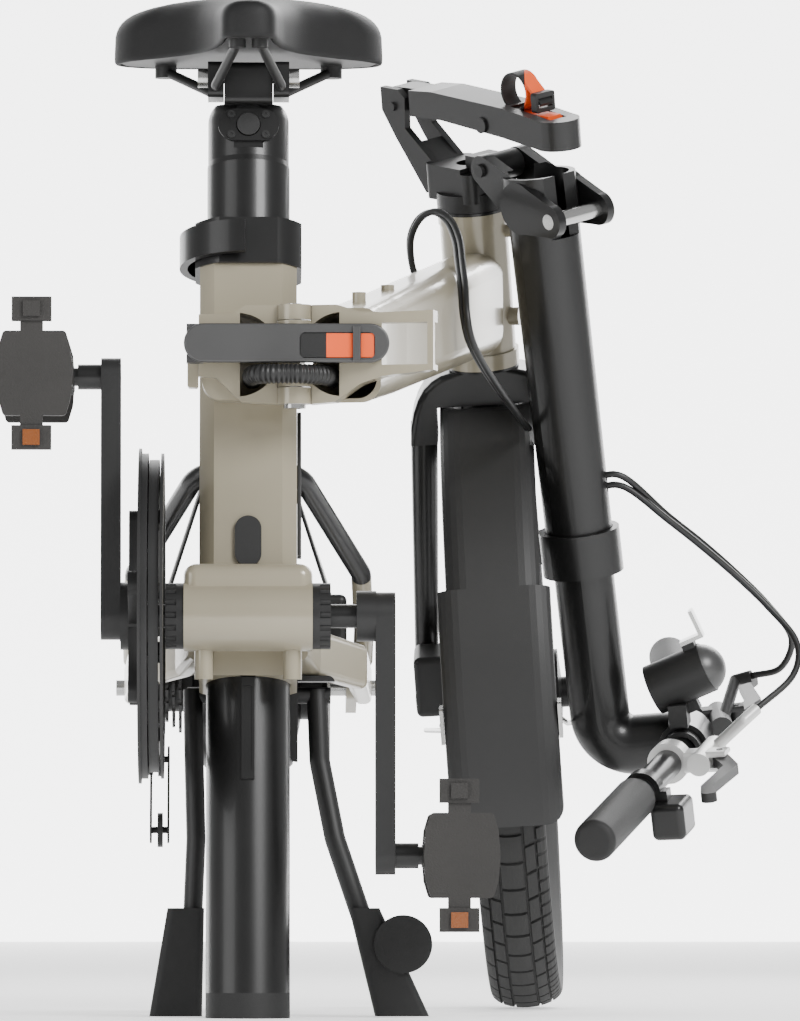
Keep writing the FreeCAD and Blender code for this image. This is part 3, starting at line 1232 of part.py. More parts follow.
def hose_fitting(side, route):
    """The union that the hose screws into, on the lever's master cylinder."""
    end = POST_PLACE.inverse().multVec(route[-1])
    before = POST_PLACE.inverse().multVec(route[-2])
    lead = end + (end - before).normalize() * 14
    root = bar_frame(side, LEVER_AT).multVec(Vector(-30 * side, -26, 0))
    return fuse(rod(end, lead, 4.6), Part.makeSphere(4.6, lead), rod(lead, root, 4.6))


def brake_bodies():
    pieces = []
    for side, route in ((-1, FAR_HOSE), (1, NEAR_HOSE)):
        pivot = Vector(0, LEVER_PIVOT_Y - 6, 0)
        room = placed(rod(pivot - Z_AXIS * 9, pivot + Z_AXIS * 9, 7.5), bar_frame(side, LEVER_AT))
        body = fuse(brake_body(side), cut(hose_fitting(side, route), room))
        pieces.append(cut(body, handlebar_solid(), clamp_solid()))
    return on_post(Part.Compound(pieces))


def brake_lever(side):
    pivot = Vector(0, LEVER_PIVOT_Y - 6, 0)
    root = rod(pivot - Z_AXIS * 3.8, pivot + Z_AXIS * 3.8, 6)
    spine = [(pivot, 6), (Vector(30, pivot.y - 16, 0), 5.5), (Vector(88, pivot.y - 12, 0), 4.5),
             (Vector(106, pivot.y - 18, 0), 6)]
    arms = [link(a - Z_AXIS * 3.7, b - Z_AXIS * 3.7, ra, rb, Z_AXIS * 7.4) for (a, ra), (b, rb) in zip(spine, spine[1:])]
    shape = fuse(root, rod(pivot - Z_AXIS * 8.4, pivot + Z_AXIS * 8.4, 2.5 - SHAFT_GAP), *arms)
    if side < 0:
        shape = shape.mirror(ORIGIN, X_AXIS)
    return on_post(placed(shape, bar_frame(side, LEVER_AT)))


def brake_lever_left():
    return brake_lever(1)


def brake_lever_right():
    return brake_lever(-1)


BELL_CENTRE = Vector(16, -70, BAR_Z - 54)
BELL_TILT = 19.0
BELL_FRAME = Placement(BELL_CENTRE, Rotation(X_AXIS, BELL_TILT))    # its own -Y is the cylinder's axis


def bell_body():
    shell = ring(Y_AXIS * 26, Y_AXIS * -20, 19.5, 17)
    back = rod(Y_AXIS * 22, Y_AXIS * 26, 17.2)
    lug = block((-5, 5), (-2, 14), (17, 27))
    lever_seat = block((-5, 5), (-19, -9), (-23, -18))
    shape = placed(cut(fuse(shell, back, lug, lever_seat), rod(Vector(0, -14, -40), Vector(0, -14, -17), 2.1)), BELL_FRAME)
    clamp = ring(Vector(24, BAR_Y, BAR_Z), Vector(34, BAR_Y, BAR_Z), 15, BAR_RADIUS + 0.4)
    strap = block((11, 34), (BAR_Y - 7, BAR_Y + 7), (BAR_Z - 36, BAR_Z - 13))
    strap = cut(strap, rod(Vector(-60, BAR_Y, BAR_Z), Vector(60, BAR_Y, BAR_Z), 19.1))
    inside = placed(rod(Y_AXIS * 26.1, Y_AXIS * -21, 19.4), BELL_FRAME)
    return on_post(cut(fuse(shape, clamp, cut(strap, inside)), handlebar_solid(), clamp_solid()))


def bell_dome():
    dome = Part.makeSphere(19.6, Y_AXIS * -14).common(rod(Y_AXIS * -20.1, Y_AXIS * -40, 19.4))
    return on_post(placed(cut(dome, Part.makeSphere(17.8, Y_AXIS * -14)), BELL_FRAME))


def bell_hammer():
    post = rod(Vector(0, -14, -26.5), Vector(0, -14, -18), 2)
    tab = fuse(block((-5, 5), (-26, -9), (-26.5, -23.3)), block((-5, 5), (-28, -25), (-46, -23.3)))
    return on_post(placed(fuse(post, tab), BELL_FRAME))


def handlebar_pod():
    box = rounded(block((-18, 18), (-34, -8), (8, 36)), 5)
    clamp = ring(Vector(-6, 0, 0), Vector(6, 0, 0), 15, BAR_RADIUS)
    bracket = block((-6, 6), (-20, 0), (0, 14))
    shape = cut(fuse(box, clamp, bracket), rod(Vector(-30, 0, 0), Vector(30, 0, 0), BAR_RADIUS))
    return on_post(placed(shape, bar_frame(1, 143)))


# ---------------------------------------------------------------- hoses, in stored coordinates
def post_exit(shift, reach):
    """A point straight out of the handlepost's hose hole; shift is along the post."""
    return POST_PLACE.multVec(Vector(0, -reach, POST_HINGE_Z + POST_LENGTH - 62 + shift))


def far_hose_route():
    return [post_exit(-4, 14), post_exit(-4, 38)] + FAR_HOSE


def near_hose_route():
    return [post_exit(4, 14), post_exit(4, 38)] + NEAR_HOSE


def far_brake_hose():
    return bent_tube(far_hose_route(), HOSE_RADIUS)


def near_brake_hose():
    return bent_tube(near_hose_route(), HOSE_RADIUS)


def second_head_cable_route():
    last = len(HEAD_CABLE_ROUTE) - 1
    return [point + Vector(5 * math.sin(math.pi * index / last) - 1.6, -6.2, 0)
            for index, point in enumerate(HEAD_CABLE_ROUTE)]


def head_cables():
    return Part.Compound([bent_tube(route, HOSE_RADIUS - 0.1)
                          for route in (HEAD_CABLE_ROUTE, second_head_cable_route())])


# ---------------------------------------------------------------- frame latch
def latch_lever():
    low, high = LATCH_LOW, LATCH_HIGH
    radius = (high - low) / 2
    middle = (low + high) / 2
    left, right = -46.0, 100.5
    face, back = -2.5, 3.5
    blade = link(Vector(left + radius, face, middle), Vector(right - radius, face, middle), radius, radius, Y_AXIS * (back - face))
    blade = blade.makeFillet(1.4, [e for e in blade.Edges if abs(e.CenterOfMass.y - face) < 0.05])
    ears = []
    for z0, z1 in ((low, low + 5.9), (high - 5.9, high)):
        ear = fuse(block((LATCH_X - 6, LATCH_X + 6), (back - 1, LATCH_Y), (z0, z1)),
                   rod(Vector(LATCH_X, LATCH_Y, z0), Vector(LATCH_X, LATCH_Y, z1), 6))
        ears.append(ear)
    recess = rounded(block((36.5, 90), (face - 1, back - 1.6), (468.6, 487)), 4, Y_AXIS)
    hole = rod(Vector(LATCH_X, LATCH_Y, 400), Vector(LATCH_X, LATCH_Y, 540), 4)
    bail = rounded(block((74.3, 80), (face - 2.5, face + 1.2), (low + 1, 491)), 1, Z_AXIS)
    shape = fuse(blade, *ears)
    return cut(fuse(cut(shape, recess), cut(bail, block((70, 90), (face, 10), (468.7, 486.9)))), hole)


def latch_strap():
    band = block((37, 89.5), (-1.6, 1.8), (469.2, 486.4))
    return cut(band, block((74, 80.3), (-5, -1.2), (400, 500)), latch_lever())


# ---------------------------------------------------------------- export
def group(*makers):
    return lambda: Part.Compound([maker() for maker in makers])


SUB_PARTS = {
    "seat_tube": group(seat_tube, bottom_bracket_shell, rear_hinge, latch_boss),
    "rear_stays": group(chain_stays, stay_bridge, seat_stays),
    "hinge_pins": group(hinge_pin, latch_pin),
    "seat_collar": group(seat_collar, seat_clamp_screw),
    "seat_clamp_lever": seat_clamp_lever,
    "bottom_bracket_cups": bottom_bracket_cups,
    "cable_fittings": group(tube_cap, cable_guide),
    "cable_sleeve": cable_sleeve,
    "rear_fender": rear_fender,
    "rear_caliper": rear_caliper,
    "derailleur": group(derailleur, derailleur_pulleys),
    "chain": chain,
    "stand_bracket": stand_bracket,
    "rear_axle": rear_axle,
    "stand_legs": stand_legs,
    "stand_feet": stand_feet,
    "seatpost_tube": seatpost_tube,
    "seatpost_foot": seatpost_foot,
    "battery_pack": battery_pack,
    "post_head": group(post_head, post_panel, panel_screws, saddle_clamp),
    "power_button": power_button,
    "saddle_rails": saddle_rails,
    "saddle_clamp": group(saddle_clamp_plates, saddle_bolt),
    "saddle_shell": saddle_shell,
    "saddle_pad": saddle_pad,
    "crank_arms": group(crank_arm_right, crank_arm_left),
    "crank_spindles": group(crank_spindle, pedal_spindles),
    "chainring": group(chainring, chainring_bolts, chain_guards),
    "pedal_right": group(pedal_right, pedal_reflectors_right),
    "pedal_left": group(pedal_left, pedal_reflectors_left),
    "rear_tyre": rear_tyre,
    "rear_rim": group(rear_rim, rear_spokes),
    "rear_hub_motor": group(rear_hub_motor, rear_rotor),
    "cassette": cassette,
    "front_frame": group(front_hinge, main_tube, head_tube),
    "headset": headset,
    "latch_lever": latch_lever,
    "latch_strap": latch_strap,
    "fork": fork,
    "front_axle": front_axle,
    "front_fender": front_fender,
    "front_caliper": front_caliper,
    "front_tyre": front_tyre,
    "front_rim": group(front_rim, front_spokes),
    "front_hub": group(front_hub, front_rotor),
    "stem_base": group(stem_base, stem_hinge_pins),
    "stem_latch": stem_latch,
    "stem_strap": stem_strap,
    "handlepost": group(handlepost, latch_bar, post_collar, collar_screw),
    "upper_post": upper_post,
    "handlebar": group(handlebar, handlebar_pod),
    "grips": grips,
    "brake_bodies": brake_bodies,
    "brake_lever_left": brake_lever_left,
    "brake_lever_right": brake_lever_right,
    "bell": group(bell_body, bell_dome),
    "bell_hammer": bell_hammer,
    "far_brake_hose": far_brake_hose,
    "near_brake_hose": near_brake_hose,
    "head_cables": head_cables,
}


def main():
    os.makedirs("parts", exist_ok=True)
    for name, maker in SUB_PARTS.items():
        maker().exportStep("parts/" + name + ".step")


if __name__ == "__main__":
    main()
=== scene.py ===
"""Looks of a folding bicycle, stored folded.

Materials, soft pieces, cords, tyre tread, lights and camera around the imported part.
"""

import math

import bpy
from mathutils import Matrix, Vector


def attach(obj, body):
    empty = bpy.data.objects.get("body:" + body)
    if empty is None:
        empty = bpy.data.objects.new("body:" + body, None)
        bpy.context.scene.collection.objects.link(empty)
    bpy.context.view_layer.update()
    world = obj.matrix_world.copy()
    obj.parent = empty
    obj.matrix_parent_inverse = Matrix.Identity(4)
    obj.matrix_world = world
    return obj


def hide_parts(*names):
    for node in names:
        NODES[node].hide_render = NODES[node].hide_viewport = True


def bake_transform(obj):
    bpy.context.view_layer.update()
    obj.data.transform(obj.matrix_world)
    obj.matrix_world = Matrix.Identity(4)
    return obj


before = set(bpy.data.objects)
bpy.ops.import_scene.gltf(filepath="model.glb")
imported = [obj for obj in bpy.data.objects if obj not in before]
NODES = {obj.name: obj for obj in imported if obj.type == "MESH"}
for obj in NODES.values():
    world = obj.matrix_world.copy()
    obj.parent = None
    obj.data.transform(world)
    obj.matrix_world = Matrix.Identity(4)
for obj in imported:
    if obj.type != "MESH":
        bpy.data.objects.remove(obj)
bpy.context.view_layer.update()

MM_PER_METRE = 1000

# ---------------------------------------------------------------- materials

BROAD_SCALE, BROAD_DETAIL = 14.0, 4.0       # soft changes in colour and roughness
FINE_DETAIL = 3.0
GRAIN_HEIGHT = 0.0004
COAT_ROUGHNESS = 0.1
WEAR = 0.06                                 # how far the roughness goes to each side
SMOOTHEST, ROUGHEST = 0.02, 1.0


def noise(nodes, links, place, scale, detail):
    """A noise texture in the object's own space."""
    texture = nodes.new("ShaderNodeTexNoise")
    texture.inputs["Scale"].default_value = scale
    texture.inputs["Detail"].default_value = detail
    links.new(place.outputs["Object"], texture.inputs["Vector"])
    return texture.outputs["Fac"]


def surface(name, colour, roughness, grain, metallic=0.0, coat=0.0, bump=0.05, vary=0.12, specular=0.5):
    """A shader with fine grain in its height, and broad, soft changes in colour and roughness."""
    material = bpy.data.materials.new(name)
    material.use_nodes = True
    nodes, links = material.node_tree.nodes, material.node_tree.links
    shader = nodes["Principled BSDF"]
    shader.inputs["Metallic"].default_value = metallic
    shader.inputs["Coat Weight"].default_value = coat
    shader.inputs["Coat Roughness"].default_value = COAT_ROUGHNESS
    shader.inputs["Specular IOR Level"].default_value = specular
    place = nodes.new("ShaderNodeTexCoord")
    broad = noise(nodes, links, place, BROAD_SCALE, BROAD_DETAIL)

    tint = nodes.new("ShaderNodeMix")
    tint.data_type = "RGBA"
    tint.inputs["A"].default_value = (*[c * (1 - vary) for c in colour], 1)
    tint.inputs["B"].default_value = (*[min(c * (1 + vary), 1) for c in colour], 1)
    links.new(broad, tint.inputs["Factor"])
    links.new(tint.outputs["Result"], shader.inputs["Base Color"])

    fine = noise(nodes, links, place, grain, FINE_DETAIL)
    gloss = nodes.new("ShaderNodeMapRange")
    gloss.inputs["To Min"].default_value = max(roughness - WEAR, SMOOTHEST)
    gloss.inputs["To Max"].default_value = min(roughness + WEAR, ROUGHEST)
    links.new(broad, gloss.inputs["Value"])
    links.new(gloss.outputs["Result"], shader.inputs["Roughness"])

    height = nodes.new("ShaderNodeBump")
    height.inputs["Strength"].default_value = bump
    height.inputs["Distance"].default_value = GRAIN_HEIGHT
    links.new(fine, height.inputs["Height"])
    links.new(height.outputs["Normal"], shader.inputs["Normal"])
    return material


def two_tone(name, split, colour):
    """The orange strap's finish, with another colour below a place along X."""
    material = ORANGE.copy()
    material.name = name
    nodes, links = material.node_tree.nodes, material.node_tree.links
    shader = nodes["Principled BSDF"]
    place = next(n for n in nodes if n.bl_idname == "ShaderNodeTexCoord")
    tinted = shader.inputs["Base Color"].links[0].from_socket
    apart = nodes.new("ShaderNodeSeparateXYZ")
    links.new(place.outputs["Object"], apart.inputs["Vector"])
    beyond = nodes.new("ShaderNodeMath")
    beyond.operation = "GREATER_THAN"
    beyond.inputs[1].default_value = split
    links.new(apart.outputs["X"], beyond.inputs[0])
    either = nodes.new("ShaderNodeMix")
    either.data_type = "RGBA"
    either.inputs["A"].default_value = (*colour, 1)
    links.new(beyond.outputs["Value"], either.inputs["Factor"])
    links.new(tinted, either.inputs["B"])
    links.new(either.outputs["Result"], shader.inputs["Base Color"])
    return material


def glow(material, strength):
    """White light that a material gives off."""
    shader = material.node_tree.nodes["Principled BSDF"]
    shader.inputs["Emission Color"].default_value = (1, 1, 1, 1)
    shader.inputs["Emission Strength"].default_value = strength


PAINT = surface("frame_paint", (0.335, 0.300, 0.218), 0.30, grain=900, metallic=0.12, coat=0.55, bump=0.02,
                vary=0.05)
SATIN = surface("black_alloy", (0.0085, 0.0085, 0.0085), 0.34, grain=700, metallic=0.2, coat=0.15, bump=0.04)
DARK_GREY = surface("dark_grey_alloy", (0.020, 0.020, 0.020), 0.42, grain=700, metallic=0.3)
GREY = surface("grey_alloy", (0.085, 0.085, 0.085), 0.36, grain=700, metallic=0.5)
STEEL = surface("bare_steel", (0.56, 0.56, 0.55), 0.24, grain=500, metallic=1.0, bump=0.04, vary=0.06)
SILVER = surface("pale_alloy", (0.70, 0.70, 0.69), 0.38, grain=700, metallic=0.35, bump=0.04, vary=0.04)
RIM = surface("rim_alloy", (0.013, 0.013, 0.013), 0.38, grain=600, metallic=0.4)
PLASTIC = surface("black_plastic", (0.011, 0.011, 0.011), 0.46, grain=1500, bump=0.14)
FENDER = surface("fender_plastic", (0.018, 0.018, 0.018), 0.52, grain=1400, bump=0.16)
PEDAL = surface("pedal_plastic", (0.019, 0.0175, 0.016), 0.56, grain=700, bump=0.6, vary=0.35)
RUBBER = surface("black_rubber", (0.008, 0.008, 0.008), 0.66, grain=1200, bump=0.22)
CABLE_SKIN = surface("cable_skin", (0.007, 0.007, 0.007), 0.42, grain=2500, bump=0.02)
GRIP = surface("grip_rubber", (0.012, 0.012, 0.012), 0.62, grain=1600, bump=0.3)
TYRE = surface("tyre_rubber", (0.016, 0.016, 0.0155), 0.72, grain=900, bump=0.3, vary=0.2)
COVER = surface("saddle_cover", (0.0075, 0.0075, 0.0077), 0.6, grain=1300, bump=0.3, vary=0.1, specular=0.32)
AMBER = surface("amber_reflector", (0.20, 0.055, 0.008), 0.22, grain=900, coat=0.6, bump=0.5, vary=0.25)
ORANGE = surface("orange_strap", (0.86, 0.095, 0.006), 0.52, grain=1500, bump=0.2, vary=0.06)

FRAME_STRAP_SPLIT = 0.0555
STEM_STRAP_SPLIT = 0.2085
FRAME_STRAP = two_tone("frame_strap", FRAME_STRAP_SPLIT, (0.006, 0.006, 0.006))
STEM_STRAP = two_tone("stem_strap_web", STEM_STRAP_SPLIT, (0.008, 0.008, 0.008))

FLOOR = surface("pale_floor", (0.86, 0.86, 0.86), 0.7, grain=60, bump=0.02, vary=0.01)
WALL = surface("white_wall", (0.9, 0.9, 0.9), 0.8, grain=60, bump=0.02, vary=0.01)
FLOOR_GLOW = 0.6
WALL_GLOW = 4.0
glow(FLOOR, FLOOR_GLOW)
glow(WALL, WALL_GLOW)

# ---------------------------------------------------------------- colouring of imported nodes

SAME_PLACE_DIGITS = 6       # corners that agree to a micrometre are one


def shells(mesh):
    """Face indices of each separate closed shell of a mesh, with the middle of its box."""
    leader = {}

    def find(key):
        while leader[key] != key:
            leader[key] = leader[leader[key]]
            key = leader[key]
        return key

    keys = [tuple(round(c, SAME_PLACE_DIGITS) for c in vertex.co) for vertex in mesh.vertices]
    for key in keys:
        leader.setdefault(key, key)
    for face in mesh.polygons:
        first = find(keys[face.vertices[0]])
        for corner in face.vertices[1:]:
            leader[find(keys[corner])] = first
            first = find(first)
    faces, boxes = {}, {}
    for face in mesh.polygons:
        top = find(keys[face.vertices[0]])
        faces.setdefault(top, []).append(face.index)
        corners = [mesh.vertices[i].co for i in face.vertices]
        low, high = boxes.setdefault(top, [list(corners[0]), list(corners[0])])
        for corner in corners:
            for axis in range(3):
                low[axis] = min(low[axis], corner[axis])
                high[axis] = max(high[axis], corner[axis])
    return [(faces[top], [(a + b) / 2 for a, b in zip(*boxes[top])]) for top in faces]


def paint(name, material):
    """One material for a whole node."""
    mesh = NODES[name].data
    mesh.materials.clear()
    mesh.materials.append(material)
    for face in mesh.polygons:
        face.material_index = 0


def paint_faces(name, material, faces):
    """Another material for some faces of a painted node."""
    mesh = NODES[name].data
    mesh.materials.append(material)
    for face in faces:
        mesh.polygons[face].material_index = len(mesh.materials) - 1


def paint_shells(name, material, low, high):
    """Another material for the shells of a painted node that have their middles in a box."""
    chosen = []
    for faces, middle in shells(NODES[name].data):
        if all(a <= c <= b for a, c, b in zip(low, middle, high)):
            chosen.extend(faces)
    paint_faces(name, material, chosen)


# ---------------------------------------------------------------- mesh pieces


def mesh_piece(name, points, faces, material, smooth=True):
    """A mesh object of one material."""
    mesh = bpy.data.meshes.new(name)
    mesh.from_pydata(points, [], faces)
    mesh.validate()
    mesh.materials.append(material)
    for face in mesh.polygons:
        face.use_smooth = smooth
    piece = bpy.data.objects.new(name, mesh)
    bpy.context.scene.collection.objects.link(piece)
    return piece


def loops_to_faces(loops, size, closed_rows=False):
    """Quads between rings of points, laid one after another."""
    faces = []
    rows = loops if closed_rows else loops - 1
    for row in range(rows):
        here = row * size
        after = (row + 1) % loops * size
        for column in range(size):
            beside = (column + 1) % size
            faces.append((here + column, here + beside, after + beside, after + column))
    return faces


def capped(loops, size):
    """The same quads, and a flat face over the first ring and the last."""
    first = tuple(reversed(range(size)))
    last = tuple(range((loops - 1) * size, loops * size))
    return loops_to_faces(loops, size) + [first, last]


def smooth_path(points, steps):
    """Points of a Catmull-Rom line through the given ones."""
    points = [Vector(p) for p in points]
    ends = [points[0] * 2 - points[1]] + points + [points[-1] * 2 - points[-2]]
    path = []
    for index in range(1, len(ends) - 2):
        before, start, end, after = ends[index - 1:index + 3]
        for step in range(steps):
            t = step / steps
            path.append(0.5 * (2 * start + (end - before) * t
                               + (2 * before - 5 * start + 4 * end - after) * t ** 2
                               + (3 * start - before - 3 * end + after) * t ** 3))
    path.append(points[-1].copy())
    return path


def even_path(points, spacing):
    """The same line with its points at one even spacing."""
    lengths = [0.0]
    for start, end in zip(points, points[1:]):
        lengths.append(lengths[-1] + (end - start).length)
    count = max(2, round(lengths[-1] / spacing))
    path, index = [], 0
    for step in range(count + 1):
        wanted = lengths[-1] * step / count
        while index < len(points) - 2 and lengths[index + 1] < wanted:
            index += 1
        share = (wanted - lengths[index]) / max(lengths[index + 1] - lengths[index], 1e-9)
        path.append(points[index].lerp(points[index + 1], min(share, 1.0)))
    return path


def tube_mesh(name, path, radii, sides, material):
    """A closed tube along a path, with a radius for each of its points."""
    points = []
    normal = (path[1] - path[0]).orthogonal().normalized()
    for index, centre in enumerate(path):
        along = (path[min(index + 1, len(path) - 1)] - path[max(index - 1, 0)]).normalized()
        normal = (normal - along * normal.dot(along)).normalized()
        across = along.cross(normal)
        for side in range(sides):
            angle = 2 * math.pi * side / sides
            points.append(centre + (normal * math.cos(angle) + across * math.sin(angle)) * radii[index])
    return mesh_piece(name, points, capped(len(path), sides), material)


# ---------------------------------------------------------------- cords

ROUTE_STEPS = 12        # points worked out from one place of a route to the next
CORD_SPACING = 0.003
CORD_SIDES = 16

HOSE_RADIUS = 0.0026
FAR_HOSE_ROUTE = [
    (0.2621, 0.4213, 0.4053), (0.2857, 0.4171, 0.4072), (0.3208, 0.4320, 0.3783), (0.3478, 0.4500, 0.3585),
    (0.3742, 0.4700, 0.3371), (0.4010, 0.4920, 0.3126), (0.4211, 0.5150, 0.2872), (0.4136, 0.5300, 0.2644),
    (0.3917, 0.5400, 0.2585)]
NEAR_HOSE_ROUTE = [
    (0.2631, 0.4234, 0.3977), (0.2867, 0.4192, 0.3995), (0.3211, 0.4240, 0.3741), (0.3475, 0.4320, 0.3539),
    (0.3738, 0.4380, 0.3320), (0.3983, 0.4380, 0.3083), (0.4192, 0.4300, 0.2812), (0.4151, 0.4150, 0.2548),
    (0.3866, 0.3980, 0.2293)]

HOSES = (("far_hose", "far_brake_hose", FAR_HOSE_ROUTE), ("near_hose", "near_brake_hose", NEAR_HOSE_ROUTE))
for name, node, route in HOSES:
    path = even_path(smooth_path(route, ROUTE_STEPS), CORD_SPACING)
    hose = tube_mesh(name, path, [HOSE_RADIUS] * len(path), CORD_SIDES, CABLE_SKIN)
    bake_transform(hose)
    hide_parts(node)

CABLE_RADIUS = 0.0025
FIRST_CABLE_ROUTE = [
    (0.1362, 0.4020, 0.5550), (0.1270, 0.4030, 0.5610), (0.1230, 0.3980, 0.5779), (0.1237, 0.3920, 0.5911),
    (0.1303, 0.3830, 0.6024), (0.1406, 0.3710, 0.6052), (0.1501, 0.3560, 0.5971), (0.1556, 0.3340, 0.5809),
    (0.1571, 0.3050, 0.5613), (0.1584, 0.2720, 0.5393), (0.1595, 0.2560, 0.5188), (0.1633, 0.2600, 0.5013),
    (0.1721, 0.2800, 0.4855), (0.1850, 0.3120, 0.4698), (0.1989, 0.3500, 0.4557), (0.2076, 0.3820, 0.4478),
    (0.2138, 0.4100, 0.4434)]
SECOND_CABLE_ROUTE = [
    (0.1346, 0.3958, 0.5550), (0.1264, 0.3968, 0.5610), (0.1233, 0.3918, 0.5779), (0.1249, 0.3858, 0.5911),
    (0.1322, 0.3768, 0.6024), (0.1432, 0.3648, 0.6052), (0.1531, 0.3498, 0.5971), (0.1589, 0.3278, 0.5809),
    (0.1605, 0.2988, 0.5613), (0.1617, 0.2658, 0.5393), (0.1625, 0.2498, 0.5188), (0.1659, 0.2538, 0.5013),
    (0.1740, 0.2738, 0.4855), (0.1862, 0.3058, 0.4698), (0.1992, 0.3438, 0.4557), (0.2070, 0.3758, 0.4478),
    (0.2122, 0.4038, 0.4434)]

for name, route in (("head_cable_first", FIRST_CABLE_ROUTE), ("head_cable_second", SECOND_CABLE_ROUTE)):
    path = even_path(smooth_path(route, ROUTE_STEPS), CORD_SPACING)
    cable = tube_mesh(name, path, [CABLE_RADIUS] * len(path), CORD_SIDES, CABLE_SKIN)
    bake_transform(cable)
    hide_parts("head_cables")

SLEEVE_ROUTE = [
    (0.0030, 0.0520, 0.4573), (0.0030, 0.0330, 0.4573), (0.0030, 0.0140, 0.4573), (0.0070, 0.0012, 0.4573),
    (0.0180, -0.0040, 0.4573), (0.0300, -0.0040, 0.4573), (0.0400, -0.0030, 0.4573), (0.0510, 0.0050, 0.4573),
    (0.0555, 0.0145, 0.4573), (0.0595, 0.0320, 0.4573)]
SLEEVE_ROUTE_STEPS = 16
SLEEVE_SIDES = 24
SLEEVE_RADIUS = 0.0072
SLEEVE_RIDGE = 0.0009       # depth of one corrugation
SLEEVE_PITCH = 0.0032
SLEEVE_STEP = 0.0004


def corrugated(index):
    """The sleeve's radius at one of its rings: full on a ridge, less in the dip between two."""
    turn = 2 * math.pi * index * SLEEVE_STEP / SLEEVE_PITCH
    return SLEEVE_RADIUS - SLEEVE_RIDGE * (0.5 - 0.5 * math.cos(turn))


sleeve_path = even_path(smooth_path(SLEEVE_ROUTE, SLEEVE_ROUTE_STEPS), SLEEVE_STEP)
sleeve_radii = [corrugated(index) for index in range(len(sleeve_path))]
sleeve = tube_mesh("corrugated_sleeve", sleeve_path, sleeve_radii, SLEEVE_SIDES, PLASTIC)
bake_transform(sleeve)
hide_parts("cable_sleeve")

# ---------------------------------------------------------------- saddle pad

# Right half of the rim seen from above, nose first, in millimetres.
SADDLE_HALF = [
    (0, 2), (8, 2.6), (14, 5), (19, 12), (21, 24), (22, 40), (27, 80), (40, 118), (66, 150), (85, 168),
    (95.5, 184), (98.8, 197), (95, 211), (84, 221), (66, 227), (36, 230), (0, 230)]
RIM_STEPS = 6
RIM_SPACING = 0.0045
RIM_FRONT, RIM_LENGTH = 0.002, 0.228
SPINE_FRONT, SPINE_BACK = 0.018, 0.198      # the line that all rings close in on

SADDLE_LOW = 0.6985
SADDLE_SEAT = 0.7044        # the flat underside, on the shell
SADDLE_SHOULDER = 0.7050    # where the crown begins
SADDLE_LIP = 0.0042         # width of the rim that hangs over the shell's edge
NOSE_TOP, BACK_RISE = 0.7260, 0.0162
RISE_START, RISE_LENGTH = 0.01, 0.15
CROWN_POWER = 3.8

UNDERSIDE_SHARES = (0.02, 0.32, 0.62)       # of the way from the spine to the lip
LIP_STEPS = (                               # distance in from the rim, and height
    (SADDLE_LIP, SADDLE_SEAT), (SADDLE_LIP, 0.6992), (0.0034, SADDLE_LOW), (0.0012, SADDLE_LOW + 0.0002),
    (0.0002, 0.7000), (0, 0.7020), (0, SADDLE_SHOULDER))
CROWN_SHARES = (                            # of the way from the rim to the spine
    0.006, 0.016, 0.032, 0.055, 0.085, 0.125, 0.18, 0.25, 0.34, 0.45, 0.58, 0.72, 0.86, 0.98)


def saddle_top(y):
    """Height of the pad's middle line, low at the nose and full at the back."""
    share = min(max((y - RISE_START) / RISE_LENGTH, 0), 1)
    return NOSE_TOP + BACK_RISE * (share * share * (3 - 2 * share))


def spine_point(edge):
    """The place on the spine that a place on the rim is joined to."""
    share = (edge.y - RIM_FRONT) / RIM_LENGTH
    return Vector((0, SPINE_FRONT + share * (SPINE_BACK - SPINE_FRONT), 0))


def saddle_pad():
    """A crowned pad: rings that run from the rim over a rounded shoulder to a spine."""
    half = smooth_path([(x / MM_PER_METRE, y / MM_PER_METRE, 0) for x, y in SADDLE_HALF], RIM_STEPS)
    half = even_path(half, RIM_SPACING)
    rim = half + [Vector((-p.x, p.y, 0)) for p in reversed(half[1:-1])]
    spine = [spine_point(edge) for edge in rim]
    points = []
    for share in UNDERSIDE_SHARES:
        for edge, middle in zip(rim, spine):
            lip = edge.lerp(middle, min(SADDLE_LIP / max((edge - middle).length, 1e-6), 1))
            place = middle.lerp(lip, share)
            points.append((place.x, place.y, SADDLE_SEAT))
    for inset, height in LIP_STEPS:
        for edge, middle in zip(rim, spine):
            place = edge.lerp(middle, inset / (edge - middle).length)
            points.append((place.x, place.y, height))
    for share in CROWN_SHARES:
        rise = (1 - (1 - share) ** CROWN_POWER) ** (1 / CROWN_POWER)
        for edge, middle in zip(rim, spine):
            place = edge.lerp(middle, share)
            height = SADDLE_SHOULDER + (saddle_top(place.y) - SADDLE_SHOULDER) * rise
            points.append((place.x, place.y, height))
    size = len(rim)
    return mesh_piece("saddle_cushion", points, capped(len(points) // size, size), COVER)


cushion = saddle_pad()
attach(cushion, "saddle")
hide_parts("saddle_pad")

# ---------------------------------------------------------------- tyres with block tread

CROWN_RADIUS = 0.2320       # where the widest line of the tyre lies
CROWN_HEIGHT = 0.0128
HALF_WIDTH = 0.0274
ARC_STEP = 0.01             # radians, in walking over the crown
# Distances from the axle and the middle plane: down the side wall, round the bead and up the inside.
SIDE_WALL = [(0.2285, 0.0273), (0.2240, 0.0261), (0.2180, 0.0230), (0.2125, 0.0200), (0.2080, 0.0174),
             (0.2042, 0.0126), (0.2060, 0.0110), (0.2090, 0.0140), (0.2220, 0.0215), (0.2360, 0.0200),
             (0.2400, 0.0080)]
PAST_TREAD = 99             # stands for the arc length of every place on the side wall

